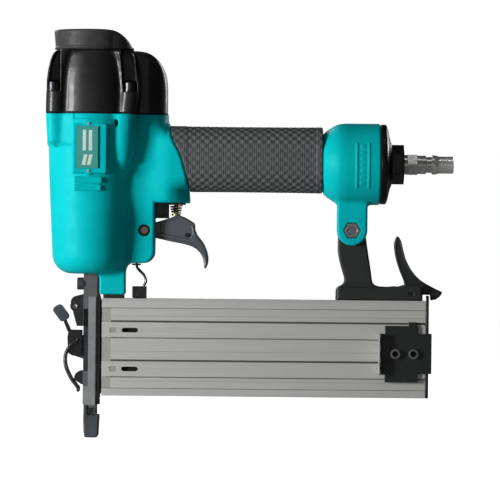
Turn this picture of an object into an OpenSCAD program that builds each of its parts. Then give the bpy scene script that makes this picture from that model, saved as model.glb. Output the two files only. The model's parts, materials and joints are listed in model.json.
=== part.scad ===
// Pneumatic flooring nailer with a straight slide-open magazine.
// Frame: origin at the centre of the nose tip's face, on the driver's axis.
// +Z runs up the driver's axis, +X runs back along the grip, -Y is the side with the nail windows.

/* [Overall] */
// Height of the joint between the housing and the cylinder cap
seam_z = 226; // [224:0.5:228]
// Height of the grip's centre line
grip_z = 195.4; // [195:0.2:196]
// Height of the centre line of the handle's bell and of the air inlet
inlet_z = 193; // [192.6:0.2:193.4]
// Distance from the driver's axis to the rear face of the handle's bell
bell_x = 202; // [201:0.5:204]

/* [Magazine] */
// Height of the magazine's lower face
mag_z = 29.6; // [29.4:0.1:30]
// Height of the magazine, from its lower to its upper face
mag_h = 68; // [67.6:0.1:68]
// Thickness of the magazine
mag_w = 24; // [23.6:0.2:24.4]
// Distance from the driver's axis to the magazine's front end
mag_x = 8; // [7.9:0.1:8.2]
// Length of the magazine's extrusions
mag_len = 226; // [222:1:227]
// Width of the channel that the nail strip runs in
strip_w = 3.4; // [3.2:0.1:3.4]

/* [Barrel] */
// Outer radius of the barrel at the cap joint
barrel_r = 31; // [30.6:0.1:31.4]
// Outer radius of the barrel above its rounded lower end
barrel_low_r = 27.6; // [27.4:0.1:28]
// Radius of the piston's bore
bore_r = 19.6; // [19.4:0.1:19.8]
// Half the spacing of the cap screws along X
cap_screw_x = 26.5; // [26:0.1:27]
// Half the spacing of the cap screws along Y
cap_screw_y = 21; // [20.6:0.1:21.4]

/* [Trigger] */
// Distance of the trigger's pin from the driver's axis
trigger_x = 37.1; // [37:0.1:37.4]
// Height of the trigger's pin
trigger_z = 145.3; // [145.2:0.1:145.6]
// Width of the trigger
trigger_w = 13.8; // [13.6:0.1:13.8]

/* [Hidden] */
$fn = 64;
eps = 0.01;
teal = [0.0, 0.62, 0.62];
black = [0.08, 0.08, 0.09];
iron = [0.26, 0.28, 0.29];
rubber = [0.2, 0.2, 0.21];
alloy = [0.66, 0.66, 0.64];
steel = [0.55, 0.55, 0.56];
brass = [0.72, 0.58, 0.3];

mag_top = mag_z + mag_h;
mag_back = mag_x + mag_len;
barrel_z = 114.6;
cavity_r = 24.6;
cap_top = seam_z + 44;
cap_bore_r = 27.2;
cap_roof = seam_z + 36;
gasket_t = 0.8;
rear_w = 32;
rear_x = 53.4;
root_z = 164.6;
deflector_z = cap_top + 1.4;
deflector_h = 14.4;
core_r = 17.9;
valve_x = 59;
lug_x = 182.4;
lug_z = 146.5;
contact_travel = 5;
clear = 0.25;
hinge = [-10.5, 92];
latch_pin = [-13.2, 61.1];
bail_pin = [-9.5, 68.4];
bail_bar = [-8.5, 34.5];
release_pin = [224, 102.4];
finger_pin = [67.3, 142.2];
bail_y = 8.6;
wire_r = 1;
nose_screw_y = 5.9;

// ---------- helpers ----------

// A profile drawn in X and Z, extruded to width w about Y = y
module along_y(w, y = 0) translate([0, y, 0]) rotate([90, 0, 0]) linear_extrude(w, center = true) children();

// A profile drawn in Y and Z, extruded from x0 to x1
module along_x(x0, x1) translate([x0, 0, 0]) rotate([90, 0, 90]) linear_extrude(x1 - x0) children();

// A round bar along Y through the point p = [x, z], from y0 to y1
module bar_y(r, p, y0, y1) translate([p[0], y0, p[1]]) rotate([-90, 0, 0]) cylinder(h = y1 - y0, r = r);

// A round bar or cone along X at height z, from x0 to x1
module bar_x(r, x0, x1, z, y = 0, r2 = -1)
    translate([x0, y, z]) rotate([0, 90, 0]) cylinder(h = x1 - x0, r1 = r, r2 = r2 < 0 ? r : r2);

// A round bar or cone along Z
module bar_z(r, p, z0, z1, r2 = -1)
    translate([p[0], p[1], z0]) cylinder(h = z1 - z0, r1 = r, r2 = r2 < 0 ? r : r2);

// A box from its lowest to its highest corner
module block(a, b) translate(a) cube(b - a);

// A rectangle with round corners, about the origin
module round_rect(w, h, r) {
    square([w - 2 * r, h], center = true);
    square([w, h - 2 * r], center = true);
    for (sx = [-1, 1], sy = [-1, 1]) translate([sx * (w / 2 - r), sy * (h / 2 - r)]) circle(r);
}

// Points of an arc about c, from angle a to angle b
function arc(c, r, a, b, n = 8) = [for (i = [0:n]) c + r * [cos(a + (b - a) * i / n), sin(a + (b - a) * i / n)]];

// Catmull-Rom curve through the points p, with n steps between neighbours
function curve(p, n = 5) = [
    for (i = [0:len(p) - 2], k = [0:n - 1])
        let (a = p[max(i - 1, 0)], b = p[i], c = p[i + 1], d = p[min(i + 2, len(p) - 1)], t = k / n)
            0.5 * (2 * b + (c - a) * t + (2 * a - 5 * b + 4 * c - d) * t * t + (3 * b - 3 * c + d - a) * t * t * t),
    p[len(p) - 1]
];

function unit(v) = v / norm(v);
function tangents(p) = [for (i = [0:len(p) - 1]) unit(p[min(i + 1, len(p) - 1)] - p[max(i - 1, 0)])];
// Normals carried along the path without twist
function normals(t, n, i = 0) = i >= len(t) ? [] :
    let (m = unit(n - (n * t[i]) * t[i])) concat([m], normals(t, m, i + 1));

// A round wire of radius r along the points p; first is any direction across its start
module wire(p, r, first = [0, 1, 0], sides = 8) {
    t = tangents(p);
    n = normals(t, first);
    rings = [for (i = [0:len(p) - 1], k = [0:sides - 1])
        p[i] + r * (cos(360 * k / sides) * n[i] + sin(360 * k / sides) * cross(t[i], n[i]))];
    skin = [for (i = [0:len(p) - 2], k = [0:sides - 1])
        let (a = i * sides + k, b = i * sides + (k + 1) % sides) [a, b, b + sides, a + sides]];
    ends = [[for (k = [sides - 1:-1:0]) k], [for (k = [0:sides - 1]) (len(p) - 1) * sides + k]];
    polyhedron(points = rings, faces = [for (f = concat(skin, ends)) [for (i = [len(f) - 1:-1:0]) f[i]]]);
}

// Centre line of a coil along Z, from z0 to z1, with its radius going from r0 to r1
function coil(z0, z1, r0, r1, turns, steps = 12) = [for (i = [0:turns * steps])
    let (s = i / (turns * steps), r = r0 + (r1 - r0) * s)
        [r * cos(360 * i / steps), r * sin(360 * i / steps), z0 + (z1 - z0) * s]];

// Copies a shape to the four cap screws
module at_cap_screws() for (sx = [-1, 1], sy = [-1, 1]) translate([sx * cap_screw_x, sy * cap_screw_y, 0]) children();

// ---------- outlines in X and Z ----------

// Rear edge of the handle's root, where the grip sleeve meets it, from the top down
root_edge = curve([[54, 218.6], [56.5, 209], [62.4, 197], [66.8, 181], [68.6, 170], [68.8, root_z]]);

root_outline = concat([[31, root_z]], curve([[31, 180], [35, 189], [39.9, 197.5], [44.5, 207], [49, 213.5],
    [54, 218.6]]), root_edge);

trigger_outline = concat(
    [[46.7, 142.8]], curve([[46.7, 139.6], [55.6, 137.6], [65, 135.8], [71.5, 133.6], [75.8, 130], [78.2, 125.4],
        [79, 119]]),
    [[80.2, 119]], curve([[81.6, 122], [82, 126], [81.2, 130.6], [79, 136], [74.8, 141.6], [72.8, 146],
        [72.4, 149.8], [70.8, 151.4], [65, 154.8], [60.3, 156.1]]),
    [[47, 151.6], [43, 150.6]]);

lever_outline = concat(
    curve([[219.4, 107.4], [219, 111.4], [216, 118.8], [213.4, 127], [212, 135.6], [212.6, 140], [214.2, 142.8],
        [216.7, 140], [218.3, 134], [220.4, 126.6], [224.6, 118.8], [230.4, 112.4], [238.8, 107.4], [246, 104]]),
    curve([[246, 104], [244.6, 101.2], [241.4, 98.8], [237.9, 98]]), [[237.6, 101.9], [231, 101.9], [228.6, 99.2]],
    arc([224, 102.4], 4.2, -60, -180, 6));

arm_outline = concat(
    arc([lug_x, lug_z], 9.6, 0, 180, 12),
    curve([[172.6, 140], [172.6, 132], [174.3, 123], [177, 113.6], [176.4, 109.4], [172.6, 105.8]]),
    curve([[204, 105.8], [199.6, 107.6], [197, 111], [195.9, 118.2], [193.8, 131], [192.1, 142.4]]));

hinge_ear = concat([[-4.9, 100.4]], arc([-9.4, 94.6], 4.6, 100, 190, 5), [[-9.6, 78], [-4.9, 78]]);

hook_lug = concat([[-1.4, 46.6]], arc([-6.4, 41.8], 4.8, 90, 180, 6), [[-11.2, 40.6], [-6.6, 37.6], [-1.4, 35.6]]);

pusher_height = [mag_z + 4, mag_top - 4];

// ---------- housing group ----------

// Solid of revolution of the barrel, with its rounded lower end
module barrel_solid() rotate_extrude() polygon(concat([[0, barrel_z]],
    arc([barrel_low_r - 13.2, barrel_z + 13.2], 13.2, -90, 0, 8), [[barrel_r, seam_z], [0, seam_z]]));

// Plan of the block behind the barrel that joins it to the handle
module rear_plan(w = rear_w) {
    translate([0, -w / 2]) square([rear_x - rear_w / 2, w]);
    translate([rear_x - rear_w / 2, 0]) circle(w / 2);
}

module bell_solid() rotate_extrude_x(inlet_z) polygon([[162, 0], [162, 22.4], [166, 25], [171.8, 28.4],
    [bell_x, 28.4], [bell_x, 0]]);

// Turns a profile drawn as [x, radius] about the X-parallel line at height z
module rotate_extrude_x(z) translate([0, 0, z]) rotate([0, 90, 0]) rotate_extrude()
    polygon_swap() children();
module polygon_swap() mirror([1, -1, 0]) children();

module trigger_lug() difference() {
    along_y(24) union() {
        polygon(concat([[20, 170], [20, 122.6]], arc([36.5, 130.6], 8, -90, 0, 6), [[44.5, 170]]));
    }
    // slot for the trigger and the contact wire
    block([28, -7.2, 120], [46, 7.2, root_z]);
}

module rear_lug() difference() {
    along_y(20) union() {
        translate([lug_x, lug_z]) circle(10.6);
        translate([lug_x - 10.6, lug_z]) square([21.2, 26]);
    }
    along_y(9.9) translate([lug_x, lug_z]) union() {
        circle(11.2);
        translate([-11.2, -12]) square([22.4, 12]);
    }
    bar_y(3.1, [lug_x, lug_z], -11, 11);
    translate([lug_x, -10 + 4, lug_z]) rotate([90, 0, 0]) cylinder(h = 5, r = 6, $fn = 6);
}

module housing() color(teal) {
    difference() {
        union() {
            barrel_solid();
            at_cap_screws() bar_z(1.6, [0, 0], seam_z - 40, seam_z, 5.5);
            translate([0, 0, root_z]) linear_extrude(seam_z - root_z) rear_plan();
            along_y(38) polygon(root_outline);
            bar_x(core_r, 40, 170, grip_z);
            bell_solid();
            trigger_lug();
            rear_lug();
            block([6, -10, 100.3], [24, 10, 120]);
            // raised panel for the side plate, and two bars below it
            block([-12.5, -32.2, 184.7], [11.2, -20, 218.4]);
            for (z = [186, 218.8]) bar_y(2.6, [-1.6, z], -32.2, -20);
            block([-11.3, -30.3, 178], [9.3, -20, 182.2]);
            block([-11.3, -29.9, 171.5], [8, -20, 175.9]);
            // ledge for the contact spring
            block([28, -7.4, 131.2], [35.4, 7.4, 133.2]);
        }
        bar_z(cavity_r, [0, 0], 124, seam_z + 1);
        bar_z(20.6, [0, 0], 118, 125);
        bar_z(5, [0, 0], 100, 119);
        bar_x(13.5, 20, 176, grip_z);
        bar_x(20, 174, bell_x + 1, inlet_z);
        block([30, -10, grip_z], [46, 10, seam_z + 1]);
        bar_z(8, [valve_x, 0], root_z - 1, grip_z);
        at_cap_screws() bar_z(2.2, [0, 0], seam_z - 14, seam_z + 1);
        bar_y(2.5, [trigger_x, trigger_z], -13, 13);
        for (s = [-1, 1]) bar_y(4.1, [trigger_x, trigger_z], s * 11 - 1.5, s * 11 + 1.5);
        for (s = [-1, 1]) bar_x(2.1, 5, 19, 107.6, s * nose_screw_y);
        bar_z(1.5, [31.5, 0], 130, 134);
        for (z = [186, 218.8]) bar_y(0.95, [-1.6, z], -33, -29);
    }
}

// Side outline of the cap, with its lower shoulder at the back
cap_outline = concat([[-34, seam_z], [-34, cap_top]], [[14, cap_top]], curve([[30, cap_top], [37.3, 269.4],
    [44, 265.6], [49.4, 259], [52.2, 251], [rear_x, 242], [rear_x, seam_z]]));

module cylinder_cap() color(black) difference() {
    union() {
        bar_z(6, [0, 0], cap_top - 1, cap_top + 1.3);
        intersection() {
        translate([0, 0, seam_z + gasket_t]) linear_extrude(44) union() {
            circle(barrel_r);
            at_cap_screws_plan() circle(5.5);
            rear_plan();
        }
        along_y(70) polygon(cap_outline);
        }
    }
    // pockets over the screw heads
    at_cap_screws() bar_z(5.2, [0, 0], seam_z + 15.4, cap_top + 1, 7.6);
    at_cap_screws() bar_z(2.7, [0, 0], seam_z, seam_z + 16);
    bar_z(cap_bore_r, [0, 0], seam_z, cap_roof);
    block([20, -10.5, seam_z], [46, 10.5, seam_z + 24]);
    for (a = [45:90:315]) bar_z(3, 14 * [cos(a), sin(a)], cap_roof - 1, cap_top + 1);
    bar_z(2.5, [0, 0], cap_roof - 1, cap_top + 2);
}
module at_cap_screws_plan() for (sx = [-1, 1], sy = [-1, 1]) translate([sx * cap_screw_x, sy * cap_screw_y]) children();

module cap_gasket() color(black) translate([0, 0, seam_z]) linear_extrude(gasket_t) difference() {
    union() {
        circle(barrel_r - 0.2);
        at_cap_screws_plan() circle(5.3);
        rear_plan(rear_w - 0.4);
    }
    circle(cap_bore_r);
    translate([20, -10.5]) square([26, 21]);
    at_cap_screws_plan() circle(2.7);
}

module cap_screws() color(iron) at_cap_screws() {
    bar_z(2.1, [0, 0], seam_z - 12, seam_z + 16.5);
    difference() {
        union() {
            bar_z(4.6, [0, 0], seam_z + 15.4, seam_z + 16.6);
            bar_z(4.25, [0, 0], seam_z + 16.6, seam_z + 21.6);
        }
        translate([0, 0, seam_z + 19]) cylinder(h = 3, r = 2.3, $fn = 6);
    }
}

module exhaust_deflector() color(black) {
    shell_outline = concat([[-27.5, 0], [-27.5, 12.2]], arc([-25.3, 12], 2.2, 180, 95, 4),
        curve([[-10, 14.4], [6, 14.4], [14.4, 13.4], [21, 10], [25.6, 5], [28.4, 0]]));
    difference() {
        intersection() {
            translate([0, 0, deflector_z]) linear_extrude(deflector_h) union() {
                circle(27.5);
                translate([0, -22]) square([30, 44]);
            }
            translate([0, 0, deflector_z]) along_y(60) polygon(shell_outline);
        }
        difference() {
            bar_z(22.5, [0, 0], deflector_z - 1, deflector_z + 9);
            bar_z(7, [0, 0], deflector_z - 1, deflector_z + 9);
        }
        // exhaust outlet under the sloping back
        block([12, -13, deflector_z + 2], [30, 13, deflector_z + 6.5]);
        bar_z(3.1, [0, 0], deflector_z - 1, deflector_z + deflector_h + 1);
        bar_z(6.2, [0, 0], deflector_z + 9.6, deflector_z + deflector_h + 1);
    }
}

module deflector_screw() color(iron) difference() {
    union() {
        bar_z(2.4, [0, 0], cap_roof + 1, deflector_z + 11);
        bar_z(5.4, [0, 0], deflector_z + 10, deflector_z + 13.4);
    }
    translate([0, 0, deflector_z + 11.6]) cylinder(h = 3, r = 2.9, $fn = 6);
}

// ---------- drive parts ----------

module cylinder_sleeve() color(steel) rotate_extrude() polygon([[bore_r, 124.2], [22.8, 124.2], [22.8, 221],
    [24.3, 221], [24.3, 224], [22.8, 224], [22.8, seam_z + 17.8], [bore_r, seam_z + 17.8]]);

module sleeve_seals() color(black) for (z = [140, 214]) translate([0, 0, z])
    rotate_extrude() translate([23.7, 0]) circle(0.85, $fn = 24);

module bumper() color(rubber) rotate_extrude() polygon([[5.4, 118], [19.2, 118], [19.2, 128], [17, 132],
    [7.4, 132], [5.4, 130]]);

module piston() color(alloy) difference() {
    bar_z(bore_r - 0.12, [0, 0], 232, 241);
    difference() {
        bar_z(bore_r + 1, [0, 0], 235, 238);
        bar_z(bore_r - 2.4, [0, 0], 234, 239);
    }
    bar_z(14, [0, 0], 238.6, 242);
    translate([-0.95, -3.1, 231]) cube([1.9, 6.2, 6]);
}

module piston_ring() color(black) difference() {
    bar_z(bore_r - 0.05, [0, 0], 235.1, 237.9);
    bar_z(bore_r - 2.3, [0, 0], 234, 239);
}

module driver_blade() color(steel) block([-0.9, -3, 99.6], [0.9, 3, 236.9]);

module head_valve() color(alloy) difference() {
    bar_z(cap_bore_r - 0.12, [0, 0], seam_z + 18, seam_z + 27);
    bar_z(20.4, [0, 0], seam_z + 17, seam_z + 28);
    difference() {
        bar_z(25.4, [0, 0], seam_z + 24, seam_z + 28);
        bar_z(21.4, [0, 0], seam_z + 23, seam_z + 29);
    }
}

module head_valve_spring() color(steel)
    wire(coil(seam_z + 24.8, cap_roof - 0.8, 23.4, 23.4, 4), 0.7, [0, 0, 1], 6);

module piston_stop() color(rubber) bar_z(8.5, [0, 0], 239.2, cap_roof);

// ---------- handle ----------

module grip_sleeve() color(rubber) difference() {
    along_x(53.6, 161.4) translate([0, grip_z]) round_rect(40, 46.5, 16.5);
    bar_x(core_r + 0.1, 40, 170, grip_z);
    along_y(60) polygon(concat([[24, root_z - 9], [24, 222]], [for (p = root_edge) p + [0.15, 0]],
        [[68.95, root_z - 9]]));
    translate([0, 0, root_z]) linear_extrude(60) rear_plan();
    bell_solid();
}

module end_cap() color(black) difference() {
    union() {
        bar_x(28, bell_x, bell_x + 3.4, inlet_z);
        bar_x(28, bell_x + 3.4, bell_x + 7.6, inlet_z, 0, 20);
        bar_x(19.8, 186, bell_x, inlet_z);
    }
    bar_x(8.1, 185, bell_x + 8, inlet_z);
    bar_x(15, 185, 198, inlet_z);
    difference() {
        bar_x(21, 192, 194.6, inlet_z);
        bar_x(18.4, 191, 195, inlet_z);
    }
}

module end_cap_seal() color(rubber) difference() {
    bar_x(19.95, 192.1, 194.5, inlet_z);
    bar_x(18.45, 191, 196, inlet_z);
}

module inlet_bushing() color(black) difference() {
    union() {
        bar_x(8, 196, bell_x + 7.7, inlet_z);
        translate([bell_x + 7.7, 0, inlet_z]) rotate([0, 90, 0]) cylinder(h = 8.7, r = 14, $fn = 6);
    }
    bar_x(6.6, 195, bell_x + 17, inlet_z);
}

module air_plug() color(steel) difference() {
    union() {
        bar_x(6.5, 204, 219.4, inlet_z);
        bar_x(6.9, 218.5, 221, inlet_z);
        translate([220.8, 0, inlet_z]) rotate([0, 90, 0]) rotate(30) cylinder(h = 6.9, r = 8.1, $fn = 6);
        bar_x(6.5, 227.6, 233.8, inlet_z);
        bar_x(5.6, 233.8, 238, inlet_z);
        bar_x(6.8, 238, 240, inlet_z);
        bar_x(6.8, 240, 243, inlet_z, 0, 6);
        bar_x(6, 243, 252.6, inlet_z);
        bar_x(6, 252.6, 253.1, inlet_z, 0, 5.5);
    }
    bar_x(3.8, 203, 254, inlet_z);
}

// ---------- trigger group ----------

module trigger_valve_body() color(black) difference() {
    union() {
        bar_z(7.9, [valve_x, 0], root_z, 190);
        block([44.7, -6.8, root_z - 1.2], [valve_x, 6.8, root_z]);
        bar_z(6.8, [valve_x, 0], root_z - 1.2, root_z);
        block([44.7, -3.8, 153.9], [54, 3.8, root_z]);
        along_y(13.6) polygon([[44.7, 153.8], [47, 154.3], [53.6, 157.9], [53.6, root_z], [44.7, root_z]]);
    }
    bar_z(1.62, [valve_x, 0], 150, 191);
}

module valve_stem() color(brass) {
    bar_z(1.5, [valve_x, 0], 151.4, 184);
    bar_z(3.2, [valve_x, 0], 155.8, 157.2);
}

module valve_spring() color(black) translate([valve_x, 0, 0])
    wire(coil(157.75, root_z - 1.75, 3.1, 4.2, 3), 0.5, [0, 0, 1], 6);

module trigger() color(iron) difference() {
    union() {
        along_y(trigger_w) union() {
            polygon(trigger_outline);
            polygon([[trigger_x, trigger_z - 4.6], [47.5, 139.6], [47.5, 151.4], [trigger_x, trigger_z + 4.6]]);
            translate([trigger_x, trigger_z]) circle(4.6);
        }
    }
    // inside of the channel, open at the top and at the front
    along_y(8.6) polygon([[30, 130], [46.4, 130], [46.4, 142], [56, 140.2], [64, 138.4], [70.4, 139.4], [71.2, 146],
        [69, 160], [30, 160]]);
    bar_y(2.55, [trigger_x, trigger_z], -8, 8);
    bar_y(1.5, finger_pin, -8, 8);
}

module trigger_pin() color(steel) bar_y(2.48, [trigger_x, trigger_z], -12.2, 12.2);

module trigger_pin_bushes() color(black) for (s = [-1, 1]) difference() {
    bar_y(4.05, [trigger_x, trigger_z], s * 10.9 - 1.3, s * 10.9 + 1.3);
    bar_y(2.5, [trigger_x, trigger_z], s * 10.9 - 2, s * 10.9 + 2);
}

module trigger_finger() color(steel) difference() {
    along_y(8) union() {
        translate(finger_pin) circle(2.8);
        polygon([finger_pin + [-2, -1.6], finger_pin + [1.4, 2.4], [62, 150], [43, 150], [42, 148.2], [58, 147.6]]);
    }
    bar_y(1.5, finger_pin, -8, 8);
}

module finger_pin() color(steel) bar_y(1.45, finger_pin, -6.8, 6.8);

// ---------- nose ----------

module driver_guide() color(iron) difference() {
    union() {
        block([-5.1, -9, 98.6], [6, 9, barrel_z]);
        block([-1.5, -9, 28], [6.6, 9, 98.6]);
        along_y(4.5, -6.75) polygon([[-1.5, 28.5], [-0.6, 21], [4.4, 21], [6.6, 28.5]]);
        // raised strip down the near side
        along_y(1.4, -9.6) polygon([[-1.5, 98.6], [-1.5, 36], [-5.1, 36], [-5.1, 23.4], [-0.6, 22.6], [3.6, 22.6],
            [3.6, 98.6]]);
        for (s = [-1, 1]) along_y(2.6, s * 7.7) polygon([[-5.2, 90], [-1, 90], [-1, 99], [-5.2, 99]]);
        block([-1.8, -4.5, 6.8], [3.4, 4.5, 31]);
        block([6, 2.4, mag_z + 1], [mag_x, 9, mag_top - 1]);
        for (s = [-1, 1]) along_y(2.6, s * 7.7) polygon(hinge_ear);
        for (s = [-1, 1]) along_y(2.7, s * 7.85) polygon(hook_lug);
    }
    // driver channel, open to the front under the door
    block([-1, -3.2, 6], [1, 3.2, 116]);
    block([-2, -3.2, 31], [0, 3.2, 98]);
    // way in for the nail strip
    block([1, -strip_w / 2, mag_z + 2], [7, strip_w / 2, mag_top - 2]);
    for (s = [-1, 1]) bar_x(2.2, -6, 7, 107.6, s * nose_screw_y);
    bar_y(1.62, hinge, -10, 10);
}
module square_at(p, s) translate(p) square(s);

module nose_screws() color(iron) for (s = [-1, 1]) difference() {
    union() {
        bar_x(2.05, -5.1, 17, 107.6, s * nose_screw_y);
        bar_x(4.25, -9.6, -5.1, 107.6, s * nose_screw_y);
    }
    translate([-10, s * nose_screw_y, 107.6]) rotate([0, 90, 0]) cylinder(h = 3, r = 2.3, $fn = 6);
}

// The door's hinge knuckle, its cover plate and the two ears that carry the latch
module nose_door() color(iron) difference() {
    union() {
        along_y(11.8) union() {
            translate(hinge) circle(4);
            polygon([[-14, 90.6], [-10.5, 86], [-5.1, 78], [-5.1, 31.4], [-1.8, 31.4], [-1.8, 91], [-7, 93.4]]);
        }
        for (s = [-1, 1]) along_y(1.6, s * 5) polygon(concat([[-5, 72]], arc(latch_pin, 3.2, 120, 250, 6), [[-5, 55]]));
    }
    bar_y(1.68, hinge, -10, 10);
    bar_y(1.5, latch_pin, -10, 10);
}

module door_pin() color(steel) difference() {
    bar_y(1.6, hinge, -9.6, 9.6);
    bar_y(0.85, hinge, -10, 10);
}

// Two cheeks joined by a web at the front, with a tongue that carries the pad
module latch_lever() color(iron) difference() {
    union() {
        for (s = [-1, 1]) along_y(1.15, s * 6.625)
            polygon([[-15.4, 75.1], [-6.2, 75.1], [-6.2, 57.4], [-12.6, 57.1], [-15.6, 59.4], [-16.2, 70]]);
        along_y(14.4) polygon([[-16.3, 74], [-16, 75.1], [-6.2, 75.1], [-6.2, 74]]);
        along_y(7) polygon([[-16.3, 74], [-14, 75], [-17.8, 83.2], [-19.6, 82.2]]);
    }
    bar_y(1.5, latch_pin, -9, 9);
    bar_y(1.08, bail_pin, -9, 9);
}

module latch_pad() color(rubber) along_y(13)
    translate([-21, 86.9]) rotate(37) round_rect(7, 12, 2.6);

module latch_pivot() color(steel) bar_y(1.45, latch_pin, -7.9, 7.9);

// Path of one side of the bail, from its pin to its cross bar, with the sign of the side
function bail_side(s) = [for (p = curve([bail_pin, [-14.4, 64.4], [-17.6, 57.6], [-17.4, 50], [-14, 42],
    [-10.4, 37], bail_bar], 4)) [p[0], s * bail_y, p[1]]];

module latch_bail() color(steel) {
    left = bail_side(-1);
    right = bail_side(1);
    count = len(right);
    corner = 1.8;
    over = [for (a = [0:30:90]) [bail_bar[0], -bail_y + corner - corner * cos(a), bail_bar[1] - corner * sin(a)]];
    back = [for (i = [3:-1:0]) [over[i][0], -over[i][1], over[i][2]]];
    wire(concat([[bail_pin[0], -6.1, bail_pin[1]], [bail_pin[0], -bail_y + 0.6, bail_pin[1]]],
        [for (i = [1:count - 2]) left[i]], over, back, [for (i = [count - 2:-1:1]) right[i]],
        [[bail_pin[0], bail_y - 0.6, bail_pin[1]], [bail_pin[0], 6.1, bail_pin[1]]]), wire_r, [1, 0, 0], 8);
}

// ---------- work contact ----------

module contact_foot() color(iron) difference() {
    union() {
        block([-3.4, -6.4, 1.6], [5.2, 6.4, 16]);
        block([-1, 4.8, 14], [4.4, 6.4, 22.4]);
        block([-1, 4.8, 16.1], [4.4, 12.2, 22.4]);
    }
    block([-2.1, -4.8, 0], [3.7, 4.8, 30]);
}

module contact_arm() color(iron) difference() {
    union() {
        along_y(1.8, 11.3) polygon([[-1, 22.5], [6.2, 22.5], [6.2, 96.6], [-1, 96.6]]);
        block([-1, 10.4, 88], [6.2, 13, 96.6]);
        along_y(2.5, 13.4) polygon([[-1, 88], [28, 88], [38.4, 92], [38.4, 106], [28.8, 106], [28.8, 96.6], [-1, 96.6]]);
        block([28.8, -4.8, mag_top + 0.6], [38.4, 13, 106]);
    }
    bar_z(1.1, [36.8, 0], 102, 107);
}

module contact_wire() color(black) {
    wire(concat([[36.8, 0, 102.4]], curve([[36.8, 0, 106.6], [38.2, 0, 110], [37, 0, 113.8], [32.6, 0, 118.4], [31.5, 0, 122.4],
        [31.5, 0, 128], [31.5, 0, 132]], 4), [[32.2, 0, 134], [34, 0, 134.9], [41, 0, 134.9], [42.8, 0, 135.6],
        [43.5, 0, 137.4], [43.5, 0, 141]]), wire_r, [0, 1, 0], 8);
    bar_z(3.2, [31.5, 0], 120.8, 122);
}

module contact_spring() color(steel) translate([31.5, 0, 0])
    wire(coil(122.5, 130.7, 2.4, 2.4, 4), 0.45, [0, 0, 1], 6);

module no_mar_tip() color(rubber) difference() {
    union() {
        along_y(16) polygon([[-4.6, 16], [-4.2, 1.2], [-3.4, 0], [5, 0], [5.6, 1.2], [6.3, 16]]);
        along_y(16) polygon([[-4.6, 15], [-4.6, 23.4], [-3.9, 24.4], [-1.9, 24.4], [-1.9, 15]]);
    }
    block([-3.42, -6.42, 1.58], [5.22, 6.42, 30]);
    block([-1.6, -4, -1], [1.6, 4, 3]);
}

// ---------- magazine ----------

module magazine_body() color(alloy) difference() {
    along_x(mag_x, mag_back) difference() {
        translate([-mag_w / 2, mag_z]) square([mag_w, mag_h]);
        // place of the sliding cover, with its two tracks
        translate([-mag_w / 2 - 1, mag_z + 5.2]) square([mag_w / 2 + 1 - 1.6, mag_h - 11.7]);
        translate([-8.2, mag_z + 3]) square([3.2, mag_h - 7.3]);
        // nail channel
        translate([-strip_w / 2, mag_z + 2]) square([strip_w, mag_h - 4]);
        // hollow and ribs of the far wall
        translate([3.4, mag_z + 6]) square([6.6, 24]);
        translate([3.4, mag_z + 34]) square([6.6, 26]);
        for (z = [10, 24, 44, 58]) translate([mag_w / 2 - 0.8, mag_z + z - 0.6]) square([2, 1.2]);
        translate([-mag_w / 2 - 1, mag_top - 1.5]) square([1.6, 0.5]);
    }
    // the front end is cut down to fit between the nose plates
    block([mag_x - 1, 9.8, mag_z + 5.2], [mag_x + 6.4, 13, mag_top - 6.5]);
    bar_z(1.9, [208, 0], mag_top - 3, mag_top + 1);
}

// The near half of the magazine, which slides back to load nails
module magazine_cover() color(alloy) difference() {
    union() {
    // raised bands with round ends
    for (z = [13.5, 40.8]) along_y(1.4, -11.3) translate([(mag_x + mag_back) / 2, mag_z + z + 5.3])
        round_rect(mag_len, 10.6, 1.6);
    along_x(mag_x, mag_back) difference() {
        union() {
            translate([-11.2, mag_z + 5.5]) square([11.2 - 1.9, mag_h - 12.3]);
            translate([-8, mag_z + 3.2]) square([2.8, mag_h - 7.7]);
        }
        translate([-9.6, mag_z + 8]) square([6, 18]);
        translate([-9.6, mag_z + 28]) square([6, 13]);
        translate([-9.6, mag_z + 43]) square([6, 16]);
        translate([-4, mag_z + 31.2]) square([3, 6.2]);
        // grooves over and under the raised bands, and a fine one between them
        for (z = [24.1, 51.4]) translate([-11.6, mag_z + z]) square([1.2, 1.3]);
        for (z = [12.9, 40.2]) translate([-11.6, mag_z + z]) square([0.9, 0.6]);
        for (z = [10.2, 31, 55.6]) translate([-11.6, mag_z + z]) square([0.6, 0.4]);
    }
    }
    // sight windows
    for (z = [75.5, 48.4]) along_y(30) {
        translate([23.6, z]) circle(1.6);
        translate([31.7, z]) circle(1.6);
        translate([23.6, z - 1.6]) square([8.1, 3.2]);
    }
    // shallow square dimples in front of the windows
    for (z = [75.5, 48.4]) block([13.6, -13, z - 1.9], [18.2, -11.7, z + 1.9]);
    // the panels between the raised bands stop short of the nose
    for (z = [[5.4, 13.5], [24.1, 40.8], [51.4, 61.4]])
        block([mag_x - 1, -13, mag_z + z[0]], [mag_x + 6.4, -9.9, mag_z + z[1]]);
    for (x = [212.9, 225.6]) bar_y(1.6, [x, 60.6], -13, -10);
}

module end_plate() color(iron) difference() {
    along_x(mag_back + 0.3, mag_back + 2.3) union() {
        polygon([[-11.8, mag_z], [11.4, mag_z], [11.4, mag_top - 0.4], [-6.6, mag_top - 0.4], [-6.6, 101.4],
            [-11, 101.4], [-11.8, 97]]);
    }
    bar_x(1.55, mag_back, mag_back + 3, 63, -6.6);
}

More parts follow.
